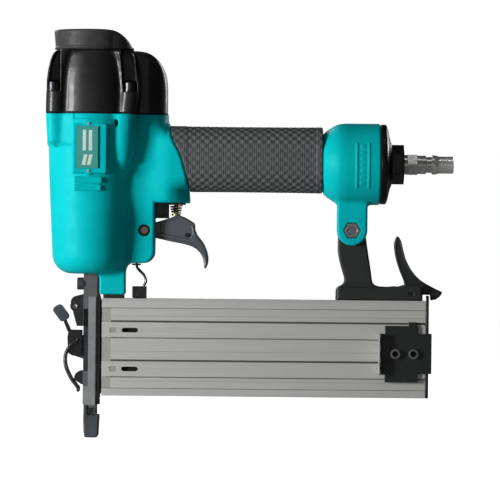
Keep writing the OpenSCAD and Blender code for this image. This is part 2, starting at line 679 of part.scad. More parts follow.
module slide_bracket() color(black) {
    difference() {
        union() {
            along_y(2, -13) union() {
                square_at([205.7, 40.7], [23, 39.5]);
                square_at([221.9, 78], [6, 4.8]);
                square_at([201.6, 46.2], [6, 28.4]);
                square_at([228, 46.8], [mag_back + 2.3 - 228, 27.8]);
            }
            // flange that the cover is pulled back by
            along_y(7, -16.5) square_at([201.6, 46.2], [1.5, 28.4]);
            block([mag_back + 2.3, -14, 46.8], [mag_back + 4.3, 4, 74.6]);
        }
        for (x = [212.9, 225.6]) bar_y(2.1, [x, 60.6], -15, -10);
        bar_x(1.55, mag_back, mag_back + 5, 63, -6.6);
    }
}

module bracket_screws() color(iron) for (x = [212.9, 225.6]) difference() {
    union() {
        bar_y(1.55, [x, 60.6], -14, -10.2);
        bar_y(3.5, [x, 60.6], -16.6, -14);
    }
    translate([x, -14.4, 60.6]) rotate([90, 0, 0]) cylinder(h = 3, r = 2.3, $fn = 6);
}

module pusher() color(steel) {
    block([9, -1.4, pusher_height[0]], [30, 1.4, pusher_height[1]]);
    difference() {
        block([12, -9.2, mag_z + 31.6], [28, -1.4, mag_z + 37]);
        bar_x(1.65, 10, 30, 63, -6.6);
    }
}

module pusher_rod() color(steel) bar_x(1.5, 11, mag_back + 4.3, 63, -6.6);

module pusher_spring() color(steel) translate([28.6, -6.6, 63]) rotate([0, 90, 0])
    wire(coil(0, mag_back - 29.2, 2.35, 2.35, 30, 10), 0.35, [0, 0, 1], 5);

module front_spacer() color(black) block([8.6, -8, mag_top], [23, 8, 100.3]);

module rear_arm() color(black) difference() {
    union() {
        along_y(9.4) polygon(arm_outline);
        along_y(19) polygon(concat([[171.8, mag_top], [171.8, 104.6]], arc([174, 104.6], 2.2, 180, 90, 4),
            [[204, 106.8], [214, 107.2], [219, 108.6], [230, 108.6], [232, 104], [232, mag_top]]));
    }
    block([216.8, -5.3, mag_top - 1], [233, 5.3, 120]);
    bar_y(3.1, [lug_x, lug_z], -11, 11);
    bar_y(1.6, release_pin, -11, 11);
    bar_z(2.1, [208, 0], mag_top - 1, 108);
    bar_z(2.1, [208, 0], 104.8, 107.4, 4.4);
}

module arm_bolt() color(iron) difference() {
    union() {
        bar_y(3, [lug_x, lug_z], -9.2, 10);
        bar_y(5, [lug_x, lug_z], 10, 14.6);
    }
    translate([lug_x, 12, lug_z]) rotate([-90, 0, 0]) cylinder(h = 3, r = 2.9, $fn = 6);
}

module arm_nut() color(steel) difference() {
    translate([lug_x, -6.1, lug_z]) rotate([90, 0, 0]) cylinder(h = 3.4, r = 5.7, $fn = 6);
    bar_y(3.02, [lug_x, lug_z], -10, -6);
}

module arm_base_screw() color(iron) difference() {
    union() {
        bar_z(1.85, [208, 0], mag_top - 1.9, 105);
        bar_z(2, [208, 0], 104.9, 107, 3.8);
    }
    translate([208, 0, 105.6]) cylinder(h = 3, r = 1.8, $fn = 6);
}

module release_lever() color(black) difference() {
    along_y(10) polygon(lever_outline);
    bar_y(1.68, release_pin, -8, 8);
    bar_y(3.5, release_pin, -2.4, 2.4);
}

module release_pin() color(steel) bar_y(1.6, release_pin, -9.4, 9.4);

module release_spring() color(steel) translate([release_pin[0], 0, release_pin[1]]) rotate([90, 0, 0])
    wire(coil(-1.8, 1.8, 2.5, 2.5, 4, 10), 0.35, [0, 0, 1], 6);

// ---------- trim ----------

module side_plate() color("lightgray") block([-9.8, -33.2, 187.8], [5.2, -32.2, 217]);

module plate_rivets() color(steel) for (z = [186, 218.8]) bar_y(0.9, [-1.6, z], -33, -30);

housing();
cylinder_cap();
cap_gasket();
cap_screws();
exhaust_deflector();
deflector_screw();
cylinder_sleeve();
sleeve_seals();
bumper();
piston();
piston_ring();
driver_blade();
head_valve();
head_valve_spring();
piston_stop();
grip_sleeve();
end_cap();
end_cap_seal();
inlet_bushing();
air_plug();
trigger_valve_body();
valve_stem();
valve_spring();
trigger();
trigger_pin();
trigger_pin_bushes();
trigger_finger();
finger_pin();
driver_guide();
nose_screws();
nose_door();
door_pin();
latch_lever();
latch_pad();
latch_pivot();
latch_bail();
contact_foot();
contact_arm();
contact_wire();
contact_spring();
no_mar_tip();
magazine_body();
magazine_cover();
end_plate();
slide_bracket();
bracket_screws();
pusher();
pusher_rod();
pusher_spring();
rear_arm();
arm_bolt();
arm_nut();
arm_base_screw();
front_spacer();
release_lever();
release_pin();
release_spring();
side_plate();
plate_rivets();
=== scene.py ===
# Flooring nailer: smooth castings, mouldings, materials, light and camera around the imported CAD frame.
# Lengths in the shape code are millimetres in the row frame; Blender objects are in metres.
import json
import math
from functools import partial

import bpy
import numpy as np
import openvdb
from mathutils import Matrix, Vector


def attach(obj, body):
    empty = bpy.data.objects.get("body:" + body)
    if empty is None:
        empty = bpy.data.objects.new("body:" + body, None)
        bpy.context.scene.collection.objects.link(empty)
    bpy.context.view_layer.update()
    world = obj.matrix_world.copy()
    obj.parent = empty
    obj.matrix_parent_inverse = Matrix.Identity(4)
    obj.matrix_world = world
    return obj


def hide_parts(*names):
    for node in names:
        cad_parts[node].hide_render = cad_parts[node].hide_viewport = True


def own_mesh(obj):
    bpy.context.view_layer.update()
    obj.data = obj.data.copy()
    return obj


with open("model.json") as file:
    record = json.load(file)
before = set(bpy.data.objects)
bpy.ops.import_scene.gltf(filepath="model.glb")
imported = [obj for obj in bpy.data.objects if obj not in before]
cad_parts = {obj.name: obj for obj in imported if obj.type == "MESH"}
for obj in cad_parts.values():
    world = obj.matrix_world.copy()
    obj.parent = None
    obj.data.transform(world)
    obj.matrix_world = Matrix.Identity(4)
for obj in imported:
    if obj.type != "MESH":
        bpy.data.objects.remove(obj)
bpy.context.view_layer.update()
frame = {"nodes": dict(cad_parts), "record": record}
nodes = frame["nodes"]
FINE = 0.5


# ---------- camera ----------

def make_camera():
    data = bpy.data.cameras.new("camera")
    data.sensor_width = 36
    data.lens = 250
    data.clip_end = 20
    cam = bpy.data.objects.new("camera", data)
    bpy.context.scene.collection.objects.link(cam)
    cam.location = (0.111, -2.436, 0.1322)
    cam.rotation_euler = (math.radians(90), math.radians(-0.53), 0)
    bpy.context.scene.camera = cam


make_camera()


# ---------- solid shapes as distance fields ----------

def smin(a, b, k):
    if k <= 0:
        return np.minimum(a, b)
    h = np.maximum(k - np.abs(a - b), 0) / k
    return np.minimum(a, b) - h * h * k * 0.25


def smax(a, b, k):
    return -smin(-a, -b, k)


def meet(a, b, r):
    """Both a and b, with the edge between them rounded to radius r."""
    u = np.maximum(a + r, 0)
    v = np.maximum(b + r, 0)
    return np.minimum(np.maximum(a, b), -r) + np.sqrt(u * u + v * v)


def slab(t, lo, hi):
    return np.maximum(lo - t, t - hi)


def slabs(x, y, z, lo, hi):
    """A box with sharp edges."""
    return np.maximum(np.maximum(slab(x, lo[0], hi[0]), slab(y, lo[1], hi[1])), slab(z, lo[2], hi[2]))


def rbox(x, y, z, lo, hi, r):
    """A box with all its edges rounded."""
    c = [(p + q) / 2 for p, q in zip(lo, hi)]
    e = [(q - p) / 2 - r for p, q in zip(lo, hi)]
    dx, dy, dz = np.abs(x - c[0]) - e[0], np.abs(y - c[1]) - e[1], np.abs(z - c[2]) - e[2]
    out = np.sqrt(np.maximum(dx, 0) ** 2 + np.maximum(dy, 0) ** 2 + np.maximum(dz, 0) ** 2)
    return out + np.minimum(np.maximum(np.maximum(dx, dy), dz), 0) - r


def ring(a, b, ca, cb):
    return np.sqrt((a - ca) ** 2 + (b - cb) ** 2)


def hexagon(u, v, flat):
    """A hexagon with corners along u, flat is half its width across flats."""
    u, v = np.abs(u), np.abs(v)
    return np.maximum(v, u * math.cos(math.radians(30)) + v * 0.5) - flat


def step(t):
    """0 below t = 0 and 1 above t = 1, with a smooth rise between."""
    t = np.clip(t, 0, 1)
    return t * t * (3 - 2 * t)


def curve(points, steps=6):
    """A smooth line through the points."""
    p = np.array(points, float)
    p = np.vstack([p[0], p, p[-1]])
    line = []
    for i in range(1, len(p) - 2):
        for t in np.arange(steps) / steps:
            a, b, c, d = p[i - 1], p[i], p[i + 1], p[i + 2]
            line.append(0.5 * (2 * b + (c - a) * t + (2 * a - 5 * b + 4 * c - d) * t ** 2
                               + (3 * b - 3 * c + d - a) * t ** 3))
    line.append(p[-2])
    return [tuple(q) for q in line]


def arc(cx, cy, r, a, b, n=8):
    return [(cx + r * math.cos(math.radians(t)), cy + r * math.sin(math.radians(t)))
            for t in np.linspace(a, b, n + 1)]


def outline(points):
    """The signed distance to a closed outline, as a function of two coordinates."""
    p = np.array(points, np.float32)
    q = np.roll(p, -1, axis=0)

    def distance(u, v):
        u, v = np.broadcast_arrays(np.asarray(u, np.float32), np.asarray(v, np.float32))
        best = np.full(u.shape, 1e9, np.float32)
        inside = np.zeros(u.shape, bool)
        for (ax, ay), (bx, by) in zip(p, q):
            ex, ey = bx - ax, by - ay
            wx, wy = u - ax, v - ay
            t = np.clip((wx * ex + wy * ey) / (ex * ex + ey * ey + 1e-12), 0, 1)
            best = np.minimum(best, (wx - ex * t) ** 2 + (wy - ey * t) ** 2)
            if ay != by:
                crosses = ((ay > v) != (by > v)) & (u < ex * (v - ay) / (by - ay) + ax)
                inside ^= crosses
        best = np.sqrt(best)
        return np.where(inside, -best, best)

    return distance


def grow(t, stops):
    """A value that changes smoothly along t through (position, value) stops."""
    s = sorted(stops)
    return np.interp(t, [a for a, _ in s], [b for _, b in s]).astype(np.float32)


class Clay:
    """A solid built up on a grid of distances, then turned into a mesh."""

    def __init__(self, lo, hi, h):
        self.h = h
        self.lo = np.array(lo, float) - 3 * h
        n = np.ceil((np.array(hi, float) + 3 * h - self.lo) / h).astype(int) + 1
        self.axes = [(self.lo[i] + h * np.arange(n[i])).astype(np.float32) for i in range(3)]
        self.d = np.full(n, 12.0, np.float32)

    def _part(self, lo, hi, k):
        cuts = []
        for i in range(3):
            pad = k + 3 * self.h
            a = int(np.clip(np.floor((lo[i] - pad - self.lo[i]) / self.h), 0, len(self.axes[i]) - 1))
            b = int(np.clip(np.ceil((hi[i] + pad - self.lo[i]) / self.h) + 1, a + 1, len(self.axes[i])))
            cuts.append(slice(a, b))
        x = self.axes[0][cuts[0]][:, None, None]
        y = self.axes[1][cuts[1]][None, :, None]
        z = self.axes[2][cuts[2]][None, None, :]
        return tuple(cuts), x, y, z

    def add(self, shape, lo, hi, k=0.0):
        cuts, x, y, z = self._part(lo, hi, k)
        self.d[cuts] = smin(self.d[cuts], shape(x, y, z).astype(np.float32), k)

    def cut(self, shape, lo, hi, k=0.0):
        cuts, x, y, z = self._part(lo, hi, k)
        self.d[cuts] = smax(self.d[cuts], -shape(x, y, z).astype(np.float32), k)

    def fill(self, shape):
        """Sets the whole grid to the shape."""
        x, y, z = self.axes[0][:, None, None], self.axes[1][None, :, None], self.axes[2][None, None, :]
        self.d[...] = shape(x, y, z)

    def sample(self, p):
        """The distance at grid positions p, between the grid's own points."""
        top = np.array(self.d.shape) - 2
        i = np.clip(np.floor(p).astype(int), 0, top)
        f = np.clip(p - i, 0, 1)
        value = 0
        for a in (0, 1):
            for b in (0, 1):
                for c in (0, 1):
                    w = (f[:, 0] if a else 1 - f[:, 0]) * (f[:, 1] if b else 1 - f[:, 1])
                    w = w * (f[:, 2] if c else 1 - f[:, 2])
                    value = value + w * self.d[i[:, 0] + a, i[:, 1] + b, i[:, 2] + c]
        return value

    def slope(self, p, step=0.75):
        g = np.zeros(p.shape)
        for i in range(3):
            e = np.zeros(3)
            e[i] = step
            g[:, i] = self.sample(p + e) - self.sample(p - e)
        return g / np.maximum(np.linalg.norm(g, axis=1, keepdims=True), 1e-9)

    def mesh(self, name, thin=0.0):
        grid = openvdb.FloatGrid(12.0)
        grid.copyFromArray(self.d)
        p, tris, quads = grid.convertToPolygons(isovalue=0.0, adaptivity=thin)
        p = p.astype(float)
        for _ in range(2):
            p = p - self.slope(p) * np.clip(self.sample(p) / self.h, -0.5, 0.5)[:, None]
        normals = self.slope(p)
        faces = [tuple(int(i) for i in f) for f in quads] + [tuple(int(i) for i in f) for f in tris]
        a, b, c = p[quads[:, 0]], p[quads[:, 1]], p[quads[:, 2]]
        facing = np.einsum("ij,ij->i", np.cross(b - a, c - a), normals[quads[:, 0]]).sum()
        if facing < 0:
            faces = [f[::-1] for f in faces]
        me = bpy.data.meshes.new(name)
        me.from_pydata(((p * self.h + self.lo) * 0.001).tolist(), [], faces)
        me.update()
        me.polygons.foreach_set("use_smooth", np.ones(len(me.polygons), bool))
        me.normals_split_custom_set_from_vertices(normals.tolist())
        ob = bpy.data.objects.new(name, me)
        bpy.context.scene.collection.objects.link(ob)
        return ob


# ---------- housing ----------

SEAM = 226.0
ROOT_Z = 164.6
GRIP_Z = 195.4
INLET_Z = 193.0
CAP_SCREWS = [(sx * 26.5, sy * 21.0) for sx in (-1, 1) for sy in (-1, 1)]
WIRE_X = 31.5
VALVE_X = 59
BASE_SCREW_X = 208
ARM_FOOT = 97.65
# X and Z of the pins and bolts that lie across the tool
TRIGGER_PIN = (37.1, 145.3)
FINGER_PIN = (67.3, 142.2)
ARM_BOLT = (182.4, 146.5)
LEVER_PIN = (224, 102.4)


def barrel(x, y, z):
    r = grow(z, [(114, 26.9), (135, 27.9), (160, 29.1), (185, 30.3), (210, 31.0), (226, 31.2)])
    return meet(np.sqrt(x * x + y * y) - r, 114.6 - z, 13)


def rear_block(x, y, z):
    side = np.maximum(np.abs(y) - 16.0, -x)
    end = ring(x, y, 37.4, 0) - 16.0
    return np.minimum(np.maximum(side, x - 37.4), end)


ROOT_EDGE = curve([(54, 218.6), (56.5, 209), (62.4, 197), (66.8, 181), (68.6, 170), (68.8, ROOT_Z)])
ROOT = outline([(20, 219), (20, 150), (27, 140), (27, 122.3)] + arc(36.4, 130.4, 8.1, -90, 0, 8)
               + [(44.5, ROOT_Z), (68.8, ROOT_Z)] + ROOT_EDGE[::-1] + [(53, 219)])


# Bosses of the cap's screws: radius up Z, X up Z, distance from the middle, blend and lowest Z
FRONT_BOSS = ([(197, -12), (206.5, 4.2), (226, 5.4)], [(198, -26.2), (226, -26.5)], 21, 9, 197)
REAR_BOSS = ([(179, -3), (184, 3), (194, 7.6), (206, 9.2), (226, 9.6)],
             [(180, 20.2), (200, 21.2), (226, 22.3)], 19.2, 3, 179)


def rear_half(x, z):
    """Half the thickness of the body behind the barrel: thin at the trigger lug, thicker above it."""
    block = np.sqrt(np.maximum(256 - np.maximum(x - 37.4, 0) ** 2, 30))
    top = step((z - 207) / 19)
    side = 12.2 + 4.0 * step((z - 148) / 26) + 3.2 * step((x - 36) / 20) * step((z - 150) / 20)
    half = side * (1 - top) + block * top
    below = np.clip(GRIP_Z - z, 0, 21.5)
    rubber = 4.6 + np.sqrt(np.maximum(240.3 - np.maximum(below - 7.6, 0) ** 2, 1))
    reach = np.clip((x - 50 - 0.3 * np.maximum(z - 182, 0)) / 17, 0, 1)
    return half - np.maximum(half - rubber, 0) * reach * reach


def fork(x, z):
    """The slot that the rear arm swings in: a round end over an open channel."""
    return np.minimum(ring(x, z, *ARM_BOLT) - 11.2,
                      np.maximum(np.abs(x - ARM_BOLT[0]) - 11.2, z - ARM_BOLT[1]))


def on_bell(x, y, z, at, half, height, r):
    """A block round the point at (X and Z), standing out of the bell's side to the radius height."""
    block = meet(np.abs(x - at[0]) - half[0], np.abs(z - at[1]) - half[1], r)
    return meet(block, ring(y, z, 0, INLET_Z) - height, r - 0.1)


def build_housing():
    c = Clay((-34, -35, 98), (206, 34, SEAM), FINE)
    lo, hi = (-34, -34, 112), (34, 34, SEAM)
    c.add(barrel, lo, hi)
    for sx, sy in CAP_SCREWS:
        radius, across, cy, k, low = FRONT_BOSS if sx < 0 else REAR_BOSS

        def boss(x, y, z):
            return np.sqrt((x - grow(z, across)) ** 2 + (y - cy * np.sign(sy)) ** 2) - grow(z, radius)
        c.add(boss, (sx - 16, sy - 9, low), (sx + 8, sy + 9, SEAM), k)
    # the barrel is a little thicker round its upper front
    c.add(lambda x, y, z: meet(np.maximum(ring(x, y, 0, 0) - 31.7, x + 12.6), 204.6 - z, 1.2),
          (-33, -33, 203), (-12, 33, SEAM), 2.4)
    c.add(lambda x, y, z: np.maximum(rear_block(x, y, z), 190 - z), (0, -17, 190), (54, 17, SEAM), 3)
    c.add(lambda x, y, z: np.maximum(meet(ROOT(x, z), np.abs(y) - rear_half(x, z), 2.2), z - SEAM),
          (20, -21, 121), (70, 21, 219), 4)
    # core that the grip sleeve slides over
    c.add(lambda x, y, z: np.maximum(ring(y, z, 0, GRIP_Z) - 17.7, slab(x, 56, 166)),
          (56, -18, 176), (166, 18, 214))
    shoulder = curve([(161.6, 20.4), (162.4, 21.6), (165, 23.8), (169, 26.4), (173, 28.0), (178, 28.5)])
    bell = outline([(161.6, 0)] + shoulder + [(200.6, 28.5), (201.9, 27.4), (201.9, 0)])
    c.add(lambda x, y, z: bell(x, ring(y, z, 0, INLET_Z)), (161, -29, 164), (203, 29, 222))
    # two raised bars on each side of the bell, and a row of low plain blocks between them
    for bar in (184.8, 193.2):
        c.add(lambda x, y, z: on_bell(x, y, z, (bar, 191.6), (0.75, 15.9), 29.0, 0.5),
              (bar - 2, -30, 175), (bar + 2, 30, 208), 0.5)
    for z0 in np.arange(179.4, 205, 4.2):
        c.add(lambda x, y, z: on_bell(x, y, z, (189, z0), (1.7, 1.3), 28.8, 0.4),
              (187, -29, z0 - 1.4), (191, 29, z0 + 1.4), 0.3)
    # lug under the bell
    rear = outline(arc(*ARM_BOLT, 10.6, 180, 360, 14) + [(193, 172), (171.8, 172)])
    c.add(lambda x, y, z: meet(rear(x, z), np.abs(y) - 10.0, 1.6), (171, -11, 135), (194, 11, 172), 3)
    # foot over the magazine
    c.add(lambda x, y, z: rbox(x, y, z, (6, -10, 100.3), (24, 10, 124), 1.3),
          (5, -11, 100), (25, 11, 122), 3.5)
    # panel for the side plate, its rivets' pads, and two bars below it
    c.add(lambda x, y, z: rbox(x, y, z, (-12.6, -32.2, 184.4), (11.2, -20, 218.6), 0.8),
          (-13, -33, 184), (12, -20, 219), 1.2)
    for z0 in (186, 218.8):
        c.add(lambda x, y, z: meet(ring(x, z, -1.6, z0) - 2.8, -32.0 - y, 0.6),
              (-5, -33, z0 - 4), (2, -28, z0 + 4), 0.8)
    c.add(lambda x, y, z: rbox(x, y, z, (-11.6, -31.0, 177.5), (8.0, -20, 181.9), 0.7),
          (-12, -32, 177), (9, -20, 183), 0.7)
    c.add(lambda x, y, z: rbox(x, y, z, (-11.6, -30.5, 172.2), (7.6, -20, 176.6), 0.7),
          (-12, -32, 171), (9, -20, 177), 0.7)
    c.cut(lambda x, y, z: rbox(x, y, z, (-10.1, -34, 187.4), (5.5, -31.9, 217.2), 0.3),
          (-11, -33, 187), (6, -31.8, 218), 0.2)

    # raised band over the panel, and a round vent at its end
    def band(x, y, z):
        sheet = meet(slab(x, -20.4, 16.4), slab(z, 215.0, 222.2), 0.8)
        return meet(sheet, np.maximum(ring(x, y, 0, 0) - 31.9, y), 0.5)
    c.add(band, (-21, -33, 214), (17, -20, 223), 0.6)
    c.cut(lambda x, y, z: np.sqrt(((x - 17.4) / 1.4) ** 2 + ((z - 219.4) / 2.6) ** 2) * 1.6 - 1.6,
          (15, -30, 216), (20, -22, 223), 0.5)
    c.cut(lambda x, y, z: SEAM - 0.05 - z, (-34, -34, SEAM), (54, 34, SEAM), 0.8)
    # hollows
    c.cut(lambda x, y, z: np.maximum(ring(x, y, 0, 0) - 24.6, 124 - z), (-25, -25, 124), (25, 25, 230))
    c.cut(lambda x, y, z: np.maximum(ring(x, y, 0, 0) - 20.6, slab(z, 118, 126)),
          (-21, -21, 118), (21, 21, 126))
    c.cut(lambda x, y, z: np.maximum(ring(x, y, 0, 0) - 5, slab(z, 96, 119)), (-6, -6, 97), (6, 6, 119))
    c.cut(lambda x, y, z: np.maximum(ring(y, z, 0, GRIP_Z) - 13.5, slab(x, 20, 176)),
          (20, -14, 181), (176, 14, 210))
    c.cut(lambda x, y, z: np.maximum(ring(y, z, 0, INLET_Z) - 20, slab(x, 174, 206)),
          (174, -21, 172), (204, 21, 214))
    c.cut(lambda x, y, z: rbox(x, y, z, (30, -10, GRIP_Z), (46, 10, SEAM + 9), 2),
          (29, -11, 194), (47, 11, SEAM))
    c.cut(lambda x, y, z: np.maximum(ring(x, y, VALVE_X, 0) - 8.0, slab(z, 160, GRIP_Z)),
          (50, -9, 163), (68, 9, 196), 0.4)
    # slot for the trigger, and the ledge in it for the contact spring
    c.cut(lambda x, y, z: rbox(x, y, z, (28, -7.2, 112), (52, 7.2, ROOT_Z), 0.5),
          (27.6, -8, 118), (46, 8, ROOT_Z), 0.5)
    c.add(lambda x, y, z: rbox(x, y, z, (26, -7.4, 131.2), (35.4, 7.4, 133.2), 0.5),
          (26, -8, 131), (36, 8, 134))
    c.cut(lambda x, y, z: ring(x, y, WIRE_X, 0) - 1.5, (29, -2, 130), (34, 2, 135))
    c.cut(lambda x, y, z: ring(x, z, *TRIGGER_PIN) - 2.5, (34, -13, 142), (40, 13, 149))
    c.cut(lambda x, y, z: np.maximum(ring(x, z, *TRIGGER_PIN) - 4.1, 9.5 - np.abs(y)),
          (32, -13, 140), (42, 13, 150), 0.3)
    # fork for the rear arm, with the nut's pocket
    c.cut(lambda x, y, z: np.maximum(fork(x, z), np.abs(y) - 4.95), (170, -5, 134), (195, 5, 159), 0.4)
    c.cut(lambda x, y, z: ring(x, z, *ARM_BOLT) - 3.1, (178, -11, 142), (187, 11, 151))
    c.cut(lambda x, y, z: np.maximum(hexagon(x - ARM_BOLT[0], z - ARM_BOLT[1], 5.35), y + 6.0),
          (174, -11, 138), (191, -6, 155), 0.25)
    for sx, sy in CAP_SCREWS:
        c.cut(lambda x, y, z: np.maximum(ring(x, y, sx, sy) - 2.2, 211 - z),
              (sx - 3, sy - 3, 211), (sx + 3, sy + 3, SEAM))
    for sy in (-5.9, 5.9):
        c.cut(lambda x, y, z: ring(y, z, sy, 107.6) - 2.1, (4, sy - 3, 105), (18, sy + 3, 110))
    return c.mesh("housing_casting")


# ---------- cap ----------

# Outer surface of the cap at the flutes: distance from the middle up Z
LEFT_LIP = [(226, 32.0), (249, 31.6), (257, 30.6), (263.5, 29.2), (267.5, 27.6), (270.4, 25.6)]
RIGHT_LIP = [(226, 32.0), (240, 33.4), (246, 33.3), (255, 32.4), (263, 30.8), (268, 28.8), (270.4, 26.8)]


def build_cap():
    c = Clay((-34, -33, SEAM), (55, 33, 272), FINE * 0.9)
    base = SEAM + 0.8

    def body(x, y, z):
        r = grow(z, [(226, 31.0), (245, 30.5), (258, 29.8), (266, 29.0), (271, 28.2)])
        return ring(x, y, 0, 0) - r
    c.add(body, (-32, -32, base), (32, 32, 270))
    for sx, sy in CAP_SCREWS:
        reach = LEFT_LIP if sx < 0 else RIGHT_LIP

        def lobe(x, y, z):
            return np.sqrt((x - np.sign(sx) * (grow(z, reach) - 7)) ** 2 + (y - sy * 0.98) ** 2) - 7
        c.add(lobe, (sx - 16, sy - 9, base), (sx + 10, sy + 9, 270), 3)
    c.add(rear_block, (0, -17, base), (54, 17, 270), 3)
    crown = curve([(29, 270.3), (37.3, 269.4), (44, 265.8), (49.4, 259), (52.2, 251), (53.4, 242),
                   (53.4, SEAM)])
    top = outline([(-40, 200), (-40, 270.2), (10, 270.2)] + crown + [(53.4, 200)])
    c.fill(lambda x, y, z: smax(meet(c.d, top(x, z), 2.6), base - z, 0.5))
    for sx, sy in CAP_SCREWS:
        reach = LEFT_LIP if sx < 0 else RIGHT_LIP

        def flute(x, y, z):
            outer = grow(z, reach) - 1.7
            inner = grow(z, [(242, 21.8), (271, 21.8 if sx < 0 else 19.6)])
            mid, half = (outer + inner) / 2, (outer - inner) / 2
            wall = meet(np.abs(x * np.sign(sx) - mid) - half, 18.2 - np.abs(y), 2.5)
            return np.maximum(np.maximum(wall, 241.5 - z), -y * np.sign(sy))
        c.cut(flute, (sx - 9, min(sy, sy * 1.7), 241), (sx + 9, max(sy, sy * 1.7), 272), 0.7)
        c.cut(lambda x, y, z: np.maximum(ring(x, y, sx, sy) - 4.75, slab(z, 241.5, 248.5)),
              (sx - 5, sy - 5, 241), (sx + 5, sy + 5, 249), 0.3)
        c.cut(lambda x, y, z: ring(x, y, sx, sy) - 2.7, (sx - 3, sy - 3, base), (sx + 3, sy + 3, 243))
    c.add(lambda x, y, z: np.maximum(ring(x, y, 0, 0) - 6, slab(z, 265, 271.3)),
          (-7, -7, 265), (7, 7, 271.4), 0.6)
    c.cut(lambda x, y, z: np.maximum(ring(x, y, 0, 0) - 27.0, z - 262), (-28, -28, base - 3), (28, 28, 262))
    c.cut(lambda x, y, z: rbox(x, y, z, (20, -10.5, 210), (46, 10.5, 250), 2),
          (20, -11, base - 3), (47, 11, 250))
    for a in (45, 135, 225, 315):
        px, py = 14 * math.cos(math.radians(a)), 14 * math.sin(math.radians(a))
        c.cut(lambda x, y, z: ring(x, y, px, py) - 3, (px - 4, py - 4, 260), (px + 4, py + 4, 272))
    c.cut(lambda x, y, z: ring(x, y, 0, 0) - 2.6, (-3, -3, 260), (3, 3, 272))
    return c.mesh("cap_casting")


def build_deflector():
    c = Clay((-28.2, -28.2, 270), (30, 28.2, 286.2), FINE * 0.8)
    half_nose = [(14.5, 23.6), (20, 21.2), (25, 17.6), (28.2, 11.5)]
    nose = curve([(a, -b) for a, b in half_nose] + [(28.9, 0)] + half_nose[::-1])
    plan = outline(arc(0, 0, 27.7, 60, 300, 40) + nose)
    crown = curve([(-26.6, 285.1), (-14, 285.6), (0, 285.8), (10, 285.5), (16, 284.4), (21, 281.4),
                   (25.3, 277.0), (28.2, 273), (28.9, 271.4)])
    side = outline([(-40, 271.4), (-40, 284.8)] + crown)
    c.fill(lambda x, y, z: meet(plan(x, y) + 0.09 * (285 - z), side(x, z + 0.0016 * y * y), 1.5))
    c.add(lambda x, y, z: meet(plan(x, y) + 0.55, slab(z, 271.4, 273.0), 0.5),
          (-29, -29, 271), (30, 29, 273), 0.5)
    c.cut(lambda x, y, z: np.maximum(np.maximum(ring(x, y, 0, 0) - 22.5, 7 - ring(x, y, 0, 0)), z - 280.4),
          (-23, -23, 268), (23, 23, 280.5), 0.5)
    c.cut(lambda x, y, z: rbox(x, y, z, (12, -13, 273.4), (34, 13, 277.6), 1),
          (12, -14, 273), (31, 14, 278), 0.5)
    # rim that stands on the cap
    c.add(lambda x, y, z: meet(np.abs(ring(x, y, 0, 0) - 24.4) - 1.5, slab(z, 270.75, 274.2), 0.4),
          (-26, -26, 271), (26, 26, 274.5))
    c.cut(lambda x, y, z: ring(x, y, 0, 0) - 3.1, (-4, -4, 270), (4, 4, 287))
    c.cut(lambda x, y, z: np.maximum(ring(x, y, 0, 0) - 6.2, 281 - z), (-7, -7, 281), (7, 7, 288), 0.6)
    return c.mesh("deflector_moulding")


# ---------- handle ----------

GRIP_HALF_WIDTH = 19.4
GRIP_CORNER = 15.5
RELIEF = 0.42
PITCH = 3.05


def grip_pattern(x, y, z):
    """1 on the raised parts of the grip's pattern and 0 between them: checks, and fine ribs on the sides."""
    v = z - GRIP_Z
    flat_y, flat_z = GRIP_HALF_WIDTH - GRIP_CORNER, 23.1 - GRIP_CORNER
    dy = np.maximum(np.abs(y) - flat_y, 0)
    dz = np.maximum(np.abs(v) - flat_z, 0)
    # how far round the section the point is from the middle of the side
    s = np.minimum(np.abs(v), flat_z) + GRIP_CORNER * np.arctan2(dz, dy + 1e-6)
    s = np.sign(v) * (s + np.maximum(flat_y - np.abs(y), 0) * (dz > 0))
    wave = 2.4 * np.sin(np.pi * x / PITCH) * np.sin(np.pi * (s + 1.5) / PITCH)
    checks = 0.5 + 0.5 * np.clip(wave, -1, 1)
    ribs = 0.5 + 0.5 * np.cos(4 * np.pi * x / PITCH)
    edge = np.clip((np.abs(s) - 7) / 7, 0, 1)
    return ribs * (0.66 - 0.4 * edge) + checks * (0.34 + 0.4 * edge)


def build_grip():
    c = Clay((53, -21, 171), (162, 21, 220), 0.42)
    edge = outline([(20, 150), (20, 240), (52, 240)] + [(a + 0.3, b) for a, b in ROOT_EDGE] + [(69.1, 150)])

    def sleeve(x, y, z):
        half_height = grow(x, [(53, 23.2), (100, 23.0), (140, 23.1), (156, 23.25), (162, 23.0)])
        skin = meet(np.abs(y) - GRIP_HALF_WIDTH, np.abs(z - GRIP_Z) - half_height, GRIP_CORNER)
        patterned = np.clip(-smax(66 - x, x - 157.6, 2), 0, 1)
        relief = RELIEF * (1 - grip_pattern(x, y, z)) * patterned
        body = skin + relief + 0.1 * patterned
        return smax(meet(body, slab(x, 53.6, 161.4), 1.2), -edge(x, z), 0.8)
    c.fill(sleeve)
    c.cut(lambda x, y, z: ring(y, z, 0, GRIP_Z) - 18.0, (50, -19, 176), (163, 19, 215))
    c.cut(lambda x, y, z: rear_block(x, y, z) - 0.2, (50, -17, 171), (56, 17, 220))
    grip = c.mesh("grip_rubber")
    p = np.empty(len(grip.data.vertices) * 3)
    grip.data.vertices.foreach_get("co", p)
    p = p.reshape(-1, 3) * 1000
    # the pattern is kept on the mesh for the painted light and shade of the grip's material
    raised = grip.data.attributes.new("raised", "FLOAT", "POINT")
    raised.data.foreach_set("value", grip_pattern(p[:, 0], p[:, 1], p[:, 2]).astype(np.float32))
    return grip


